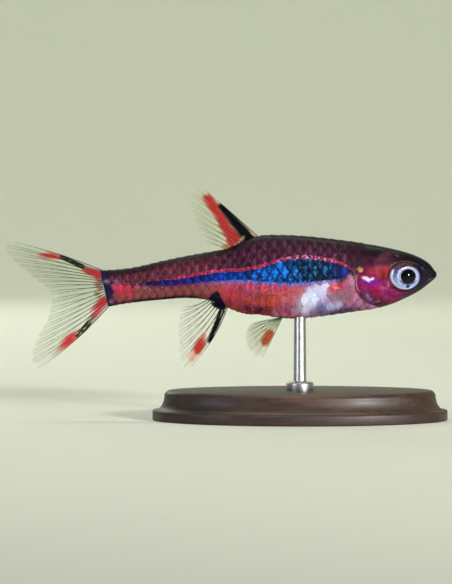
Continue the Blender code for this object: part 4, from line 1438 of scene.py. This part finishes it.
def finColours(fin, flat, place, t, part):
    # colour and cover of the fin's web or bone at flat points
    behind, height = flat[..., 0].ravel(), flat[..., 1].ravel()
    place, t = place.ravel(), t.ravel()
    tint = np.tile(linear(fin[part][0]), (len(t), 1))
    cover = fin[part][1] * (1 - 0.5 * rise(t, 0.55, 1))
    between = np.abs(np.sin(math.pi * place))
    teeth = 0.10 * between * np.sin(2.1 * place + 0.5)
    sharp = behind, height
    uneven = (
        behind + 0.025 * np.sin(7 * place + 5 * t) + teeth, height + 0.035 * np.cos(5 * place + 1) + teeth
    )
    for shape, numbers, strength, colour, opaque, boneColour in fin["marks"]:
        # a mark that has its colour on the rays too has a sharp edge
        crisp = boneColour == colour
        share = strength * shape(*(sharp if crisp else uneven), *numbers)
        paint(tint, np.minimum(1, 2.5 * share), boneColour if part == "bone" else colour)
        opaque = opaque * (1 - (0.04 if crisp else 0.22) * between)
        cover = cover + (opaque - cover) * share
    return tint, cover


def turned(fin, side, points, t):
    # turns a paired fin's plane about the middle of its root, moves it out to one side and
    # brings its root in to the body
    middle = np.mean(fin["root"], axis=0)
    centre = np.array([middle[0], 0.0, middle[1]])
    turn = np.array(Matrix.Rotation(side * math.radians(fin["turn"]), 3, fin["axis"]))
    moved = (points - centre) @ turn.T + centre
    moved[..., 1] += side * (fin["out"] - fin["inward"] * (1 - rise(t, -fins["rootShare"], 0.22)))
    return moved


def makeFin(name, fin, rays, nodes, side=0):
    # a side of 1 or -1 makes a paired fin, to the left or the right
    fan = fanOf(rays)
    count, rows, around = len(rays), fins["webRows"], fins["rayFaces"]

    def placed(place, t, off=0.0):
        flat = fan(place, t)
        level = waveOf(place, t) * fin.get("calm", 1.0) + off
        points = np.stack([flat[..., 0], level, flat[..., 1]], -1)
        return turned(fin, side, points, t) if side else points

    # the web, both faces
    columns = (count - 1) * fins["webColumns"] + 1
    place = np.linspace(0, count - 1, columns)[:, None]
    notch = fins["notch"] * np.abs(np.sin(math.pi * place))
    if "split" in fin:
        notch = notch + 0.10 * hump(place - fin["split"], 0.6)
    t = np.linspace(0, 1, rows + 1) * (1 - notch + fins["rootShare"]) - fins["rootShare"]
    place = np.broadcast_to(place, t.shape)
    half = fins["webHalf"] * (1 - 0.5 * np.clip(t, 0, 1))
    places = [placed(place, t, way * half).reshape(-1, 3) for way in (-1, 1)]
    faces = plateFaces(columns - 1, rows)
    tint, cover = finColours(fin, fan(place, t), place, t, "web")
    tints, covers, alongs = [tint, tint], [cover, cover], [t.ravel(), t.ravel()]

    # the rays, as tapering tubes in the web
    total = 2 * t.size
    turns = np.linspace(0, 2 * math.pi, around, endpoint=False)[None, :, None]
    for start, end, t0, t1, thickStart, thickEnd in rayPaths(count, fin["whole"]):
        steps = max(5, int(round((t1 - t0) * 30)))
        share = np.linspace(0, 1, steps + 1)
        place, t = start + (end - start) * np.sin(share * math.pi / 2), t0 + (t1 - t0) * share
        middle = placed(place, t)
        tangent = np.gradient(middle, axis=0)
        tangent /= np.linalg.norm(tangent, axis=1, keepdims=True)
        sideways = placed(place, t, 0.01) - middle
        sideways /= np.linalg.norm(sideways, axis=1, keepdims=True)
        inPlane = np.cross(tangent, sideways)
        radius = (thickStart + (thickEnd - thickStart) * share)[:, None, None]
        circle = np.cos(turns) * sideways[:, None] + np.sin(turns) * inPlane[:, None]
        places += [(middle[:, None] + radius * circle).reshape(-1, 3), middle[[0, -1]]]
        last = total + steps * around
        pairs = [(k, (k + 1) % around) for k in range(around)]
        for low in range(total, last, around):
            faces += [(low + k, low + n, low + around + n, low + around + k) for k, n in pairs]
        for k, n in pairs:
            faces += [(last + around, total + n, total + k), (last + around + 1, last + k, last + n)]
        total = last + around + 2
        tint, cover = finColours(fin, fan(place, t), place, t, "bone")
        for found, values in ((tints, tint), (covers, cover), (alongs, t)):
            found += [np.repeat(values, around, 0), values[[0, -1]]]
    cover, along = np.concatenate(covers), np.concatenate(alongs)
    made = makeMesh(
        name, np.concatenate(places), faces, {"tint": np.concatenate(tints)},
        {"web": np.stack([cover, along, 0 * cover], 1)}, turnOut=True,
    )
    made.data.materials.append(finFinish)
    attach(made, "root")
    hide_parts(*nodes)


def finMaterial():
    # Fin: clear membrane, wet and thin, over bony rays; it lets most light through
    made, add = newMaterial(
        "wet fin membrane", Roughness=0.45, Coat_Weight=0.03, Coat_Roughness=0.12, Coat_IOR=1.36,
        Specular_IOR_Level=0.03,
    )
    cover, along, _ = add("SeparateXYZ", add("Attribute", attribute_name="web", out="Vector")).node.outputs
    grain = add("TexNoise", add("TexCoord", out="Object"), Scale=1 / (0.12 * mm), Detail=3.0)
    level = add("Math", grain, 0.5, 0.75, operation="MULTIPLY_ADD")
    tint, level = add("Attribute", attribute_name="tint"), add("CombineColor", level, level, level)
    base = add("Mix", {0: 1.0, 6: tint, 7: level}, out=2, data_type="RGBA", blend_type="MULTIPLY")
    uneven = overlap(
        add, add("Math", grain, 0.9, -0.45, operation="MULTIPLY_ADD"), cover,
        add("Math", 1.0, cover, operation="SUBTRACT"),
    )
    # the rays' joints, about 0.16 mm apart
    joints = add("Math", add("Math", along, 150.0, operation="MULTIPLY"), operation="SINE")
    return leadTo(
        made, Base_Color=base, Alpha=add("Math", cover, uneven, operation="ADD", use_clamp=True),
        Normal=add("Bump", Strength=0.3, Distance=0.01 * mm, Height=joints),
    )


def makeFins():
    makeFin("fish_fin_dorsal", dorsal, raysOf(dorsal, partial(outlineRoot, dorsal, topAt, 1)), ["dorsal_fin"])
    makeFin("fish_fin_anal", anal, raysOf(anal, partial(outlineRoot, anal, bottomAt, -1)), ["anal_fin"])
    halves = [raysOf(fin, partial(tailRoot, fin)) for fin in (tailUpper, tailLower)]
    makeFin("fish_fin_tail", tail, np.concatenate(halves), ["tail_fin_upper", "tail_fin_lower"])
    for side, way in ((-1, "right"), (1, "left")):
        for kind, fin in (("pelvic", pelvic), ("pectoral", pectoral)):
            rays = raysOf(fin, partial(straightRoot, fin))
            makeFin(f"fish_fin_{kind}_{way}", fin, rays, [f"{kind}_fin_{way}"], side)


finFinish = finMaterial()
makeFins()
print("fins made")


# Stand: an oval wooden plinth with a hollow cove, and a steel rod in a collar

plinth = {
    "length": 16.0, "width": 10.0, "height": 1.6, "foot": 0.55, "shoulder": 0.15, "cove": 0.5,
    "edge": 0.18, "sides": 128, "steps": 8, "bevel": 0.07,
}
rod = {
    "radius": 0.35, "collar": 0.75, "collarHeight": 0.45, "sides": 48, "sunk": 0.12, "bevel": 0.05,
    "inBase": 0.05, "slope": (0.06, 0.86), "step": 0.02, "taper": 0.9,
}


def standBody(name, radius, low, high, sides, width=1.0):
    # a round body, its width a share of its length, with its top face picked for what rises on it
    bpy.ops.object.select_all(action="DESELECT")
    bpy.ops.mesh.primitive_cylinder_add(
        vertices=sides, radius=radius * mm, depth=(high - low) * mm, location=(0, 0, (low + high) / 2 * mm)
    )
    made = bpy.context.object
    made.name = name
    made.scale = (1, width, 1)
    bpy.ops.object.transform_apply(location=True, scale=True)
    bpy.ops.object.mode_set(mode="EDIT")
    bpy.ops.mesh.select_mode(type="FACE")
    bpy.ops.mesh.select_all(action="DESELECT")
    bpy.ops.object.mode_set(mode="OBJECT")
    faces = made.data.polygons
    max(faces, key=lambda face: face.center.z if face.normal.z > 0.9 else -1).select = True
    bpy.ops.object.mode_set(mode="EDIT")
    return made


def raiseTop(height, shrink):
    # pulls the top face up and draws it in
    bpy.ops.mesh.extrude_region_move(TRANSFORM_OT_translate={"value": (0, 0, height * mm)})
    bpy.ops.transform.resize(value=(shrink[0], shrink[1], 1))


def soften(made, width, angle):
    # rounds the edges that turn by more than the angle
    bpy.ops.object.mode_set(mode="OBJECT")
    modifier = made.modifiers.new("softened edges", "BEVEL")
    modifier.width = width * mm
    modifier.segments = 3
    modifier.limit_method = "ANGLE"
    modifier.angle_limit = math.radians(angle)
    bpy.ops.object.modifier_apply(modifier=modifier.name)
    bpy.ops.object.shade_smooth_by_angle(angle=math.radians(40))


def makePlinth():
    made = standBody(
        "stand_plinth", plinth["length"] / 2, 0, plinth["foot"], plinth["sides"],
        plinth["width"] / plinth["length"],
    )
    halves = np.array([plinth["length"], plinth["width"]]) / 2
    rising = plinth["height"] - plinth["foot"] - plinth["edge"]
    drawn, height = 0.0, 0.0
    for step in range(1, plinth["steps"] + 1):
        turn = math.pi / 2 * step / plinth["steps"]
        nextDrawn = plinth["shoulder"] + plinth["cove"] * math.sin(turn)
        nextHeight = rising * (1 - math.cos(turn))
        raiseTop(nextHeight - height, (halves - nextDrawn) / (halves - drawn))
        drawn, height = nextDrawn, nextHeight
    raiseTop(plinth["edge"], (halves - drawn - plinth["edge"]) / (halves - drawn))
    soften(made, plinth["bevel"], 20)
    made.data.materials.append(walnut())
    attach(made, "root")
    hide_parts("stand_base")


def makeRod():
    # a collar, and the rod from it up into the belly
    foot = plinth["height"] - rod["inBase"]
    belly = eyeZ + float(bottomAt(math.sqrt(snoutX)))
    made = standBody("stand_pin", rod["collar"], foot, foot + rod["collarHeight"], rod["sides"])
    slope, drawn = rod["slope"]
    raiseTop(slope, (drawn, drawn))
    slim = rod["radius"] / rod["collar"] / drawn
    raiseTop(rod["step"], (slim, slim))
    reach = belly + rod["sunk"] - foot - rod["collarHeight"] - slope - rod["step"]
    raiseTop(reach, (rod["taper"], rod["taper"]))
    soften(made, rod["bevel"], 35)
    made.data.materials.append(steel())
    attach(made, "root")
    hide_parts("stand_rod")


def walnut():
    # Dark walnut, turned, stained and waxed: long fine grain under a satin sheen
    made, add = newMaterial("waxed dark walnut", Coat_Weight=0.12, Coat_Roughness=0.30)
    stretched = add("Mapping", add("TexCoord", out="Object"), Scale=(0.12, 1.0, 1.0))
    # real pores are 0.2 mm wide and show as short dark lines
    pores = add("TexNoise", stretched, Scale=1 / (0.22 * mm), Detail=4.0, Roughness=0.65)
    figure = add("TexNoise", stretched, Scale=1 / (1.6 * mm), Detail=3.0, Distortion=0.8)
    tone = setRamp(add("ValToRGB", figure), [(0.3, "20120c"), (0.5, "38211a"), (0.68, "4c3022")])
    level = add("MapRange", pores, 0.40, 0.60, 0.45)
    level = add("CombineColor", level, level, level)
    base = add("Mix", {0: 1.0, 6: tone, 7: level}, out=2, data_type="RGBA", blend_type="MULTIPLY")
    return leadTo(
        made, Base_Color=base, Roughness=add("Math", pores, 0.2, 0.42, operation="MULTIPLY_ADD"),
        Normal=add("Bump", Strength=0.2, Distance=0.02 * mm, Height=pores),
    )


def steel():
    # Stainless steel rod, ground round: fine lines across it and a soft shine
    made, add = newMaterial("ground stainless steel", Metallic=1.0)
    squashed = add("Mapping", add("TexCoord", out="Object"), Scale=(0.05, 0.05, 1.0))
    # grinding lines, drawn 0.04 mm apart so that they show
    grinding = add("TexNoise", squashed, Scale=1 / (0.04 * mm), Detail=2.0)
    return leadTo(
        made, Base_Color=setRamp(add("ValToRGB", grinding), [(0.3, "b4b6b8"), (0.7, "c4c6c8")]),
        Roughness=add("Math", grinding, 0.10, 0.30, operation="MULTIPLY_ADD"),
        Normal=add("Bump", Strength=0.03, Distance=0.002 * mm, Height=grinding),
    )


makePlinth()
makeRod()
print("stand made")


# Floor, and soft studio light

studio = {
    "floor": 0.30,  # metres, the level part's radius
    "sweep": 0.24,  # metres, the rounded rise at its rim
    "sweepSteps": 10,
    "wall": 0.15,
    "tone": "d4d7cc",
    "sky": ("f2f4f8", 0.25),
}


def makeFloor():
    bpy.ops.object.select_all(action="DESELECT")
    bpy.ops.mesh.primitive_circle_add(vertices=96, radius=studio["floor"], fill_type="NGON")
    made = bpy.context.object
    made.name = "floor"
    bpy.ops.object.mode_set(mode="EDIT")
    bpy.ops.mesh.select_mode(type="EDGE")
    bpy.ops.mesh.select_all(action="DESELECT")
    bpy.ops.mesh.select_non_manifold()
    reach, height = studio["floor"], 0.0
    for step in range(1, studio["sweepSteps"] + 1):
        turn = math.pi / 2 * step / studio["sweepSteps"]
        nextReach = studio["floor"] + studio["sweep"] * math.sin(turn)
        nextHeight = studio["sweep"] * (1 - math.cos(turn))
        bpy.ops.mesh.extrude_region_move(TRANSFORM_OT_translate={"value": (0, 0, nextHeight - height)})
        bpy.ops.transform.resize(value=(nextReach / reach, nextReach / reach, 1))
        reach, height = nextReach, nextHeight
    bpy.ops.mesh.extrude_region_move(TRANSFORM_OT_translate={"value": (0, 0, studio["wall"])})
    bpy.ops.mesh.select_all(action="SELECT")
    bpy.ops.mesh.normals_make_consistent(inside=True)
    bpy.ops.object.mode_set(mode="OBJECT")
    bpy.ops.object.shade_smooth()
    # Matt paper on a roll, which takes the light evenly and has no gloss
    tone = (*linear(studio["tone"]), 1)
    finish, _ = newMaterial("matt paper", Base_Color=tone, Roughness=0.8, Specular_IOR_Level=0.2)
    made.data.materials.append(finish)


onFish = (-0.002, 0, 0.007)  # metres
lights = {
    # kind, place in metres, aim in metres, size in metres, power in watts, colour
    "key": ("SPOT", (0.20, -0.26, 0.09), onFish, 0.022, 5.2, "fffdfa"),
    "top": ("AREA", (-0.02, -0.06, 0.22), onFish, 0.12, 0.07, "fff8f0"),
    "fill": ("AREA", (-0.22, -0.18, 0.10), onFish, 0.10, 0.20, "eef2ff"),
    "rear": ("AREA", (-0.10, 0.20, 0.12), onFish, 0.10, 0.09, "ffffff"),
    "backdrop": ("AREA", (0.0, 0.10, 0.34), (0.0, 0.45, 0.10), 0.20, 1.0, "fffff4"),
}
keyCone = 26  # degrees, with a soft edge


def makeLights():
    for name, (kind, place, target, size, power, colour) in lights.items():
        data = bpy.data.lights.new(name, kind)
        if kind == "AREA":
            data.shape = "DISK"
            data.size = size
        else:
            data.shadow_soft_size = size
            data.spot_size = math.radians(keyCone)
            data.spot_blend = 1.0
        data.energy = power
        data.color = linear(colour)
        made = bpy.data.objects.new(name, data)
        bpy.context.collection.objects.link(made)
        made.location = place
        made.rotation_euler = (Vector(target) - made.location).to_track_quat("-Z", "Y").to_euler()
        made.visible_camera = False
    world = bpy.data.worlds.new("studio")
    world.use_nodes = True
    sky = world.node_tree.nodes["Background"]
    sky.inputs["Color"].default_value = (*linear(studio["sky"][0]), 1)
    sky.inputs["Strength"].default_value = studio["sky"][1]
    bpy.context.scene.world = world
    bpy.context.scene.view_settings.view_transform = "Standard"


makeFloor()
makeLights()
print("floor and lights made")
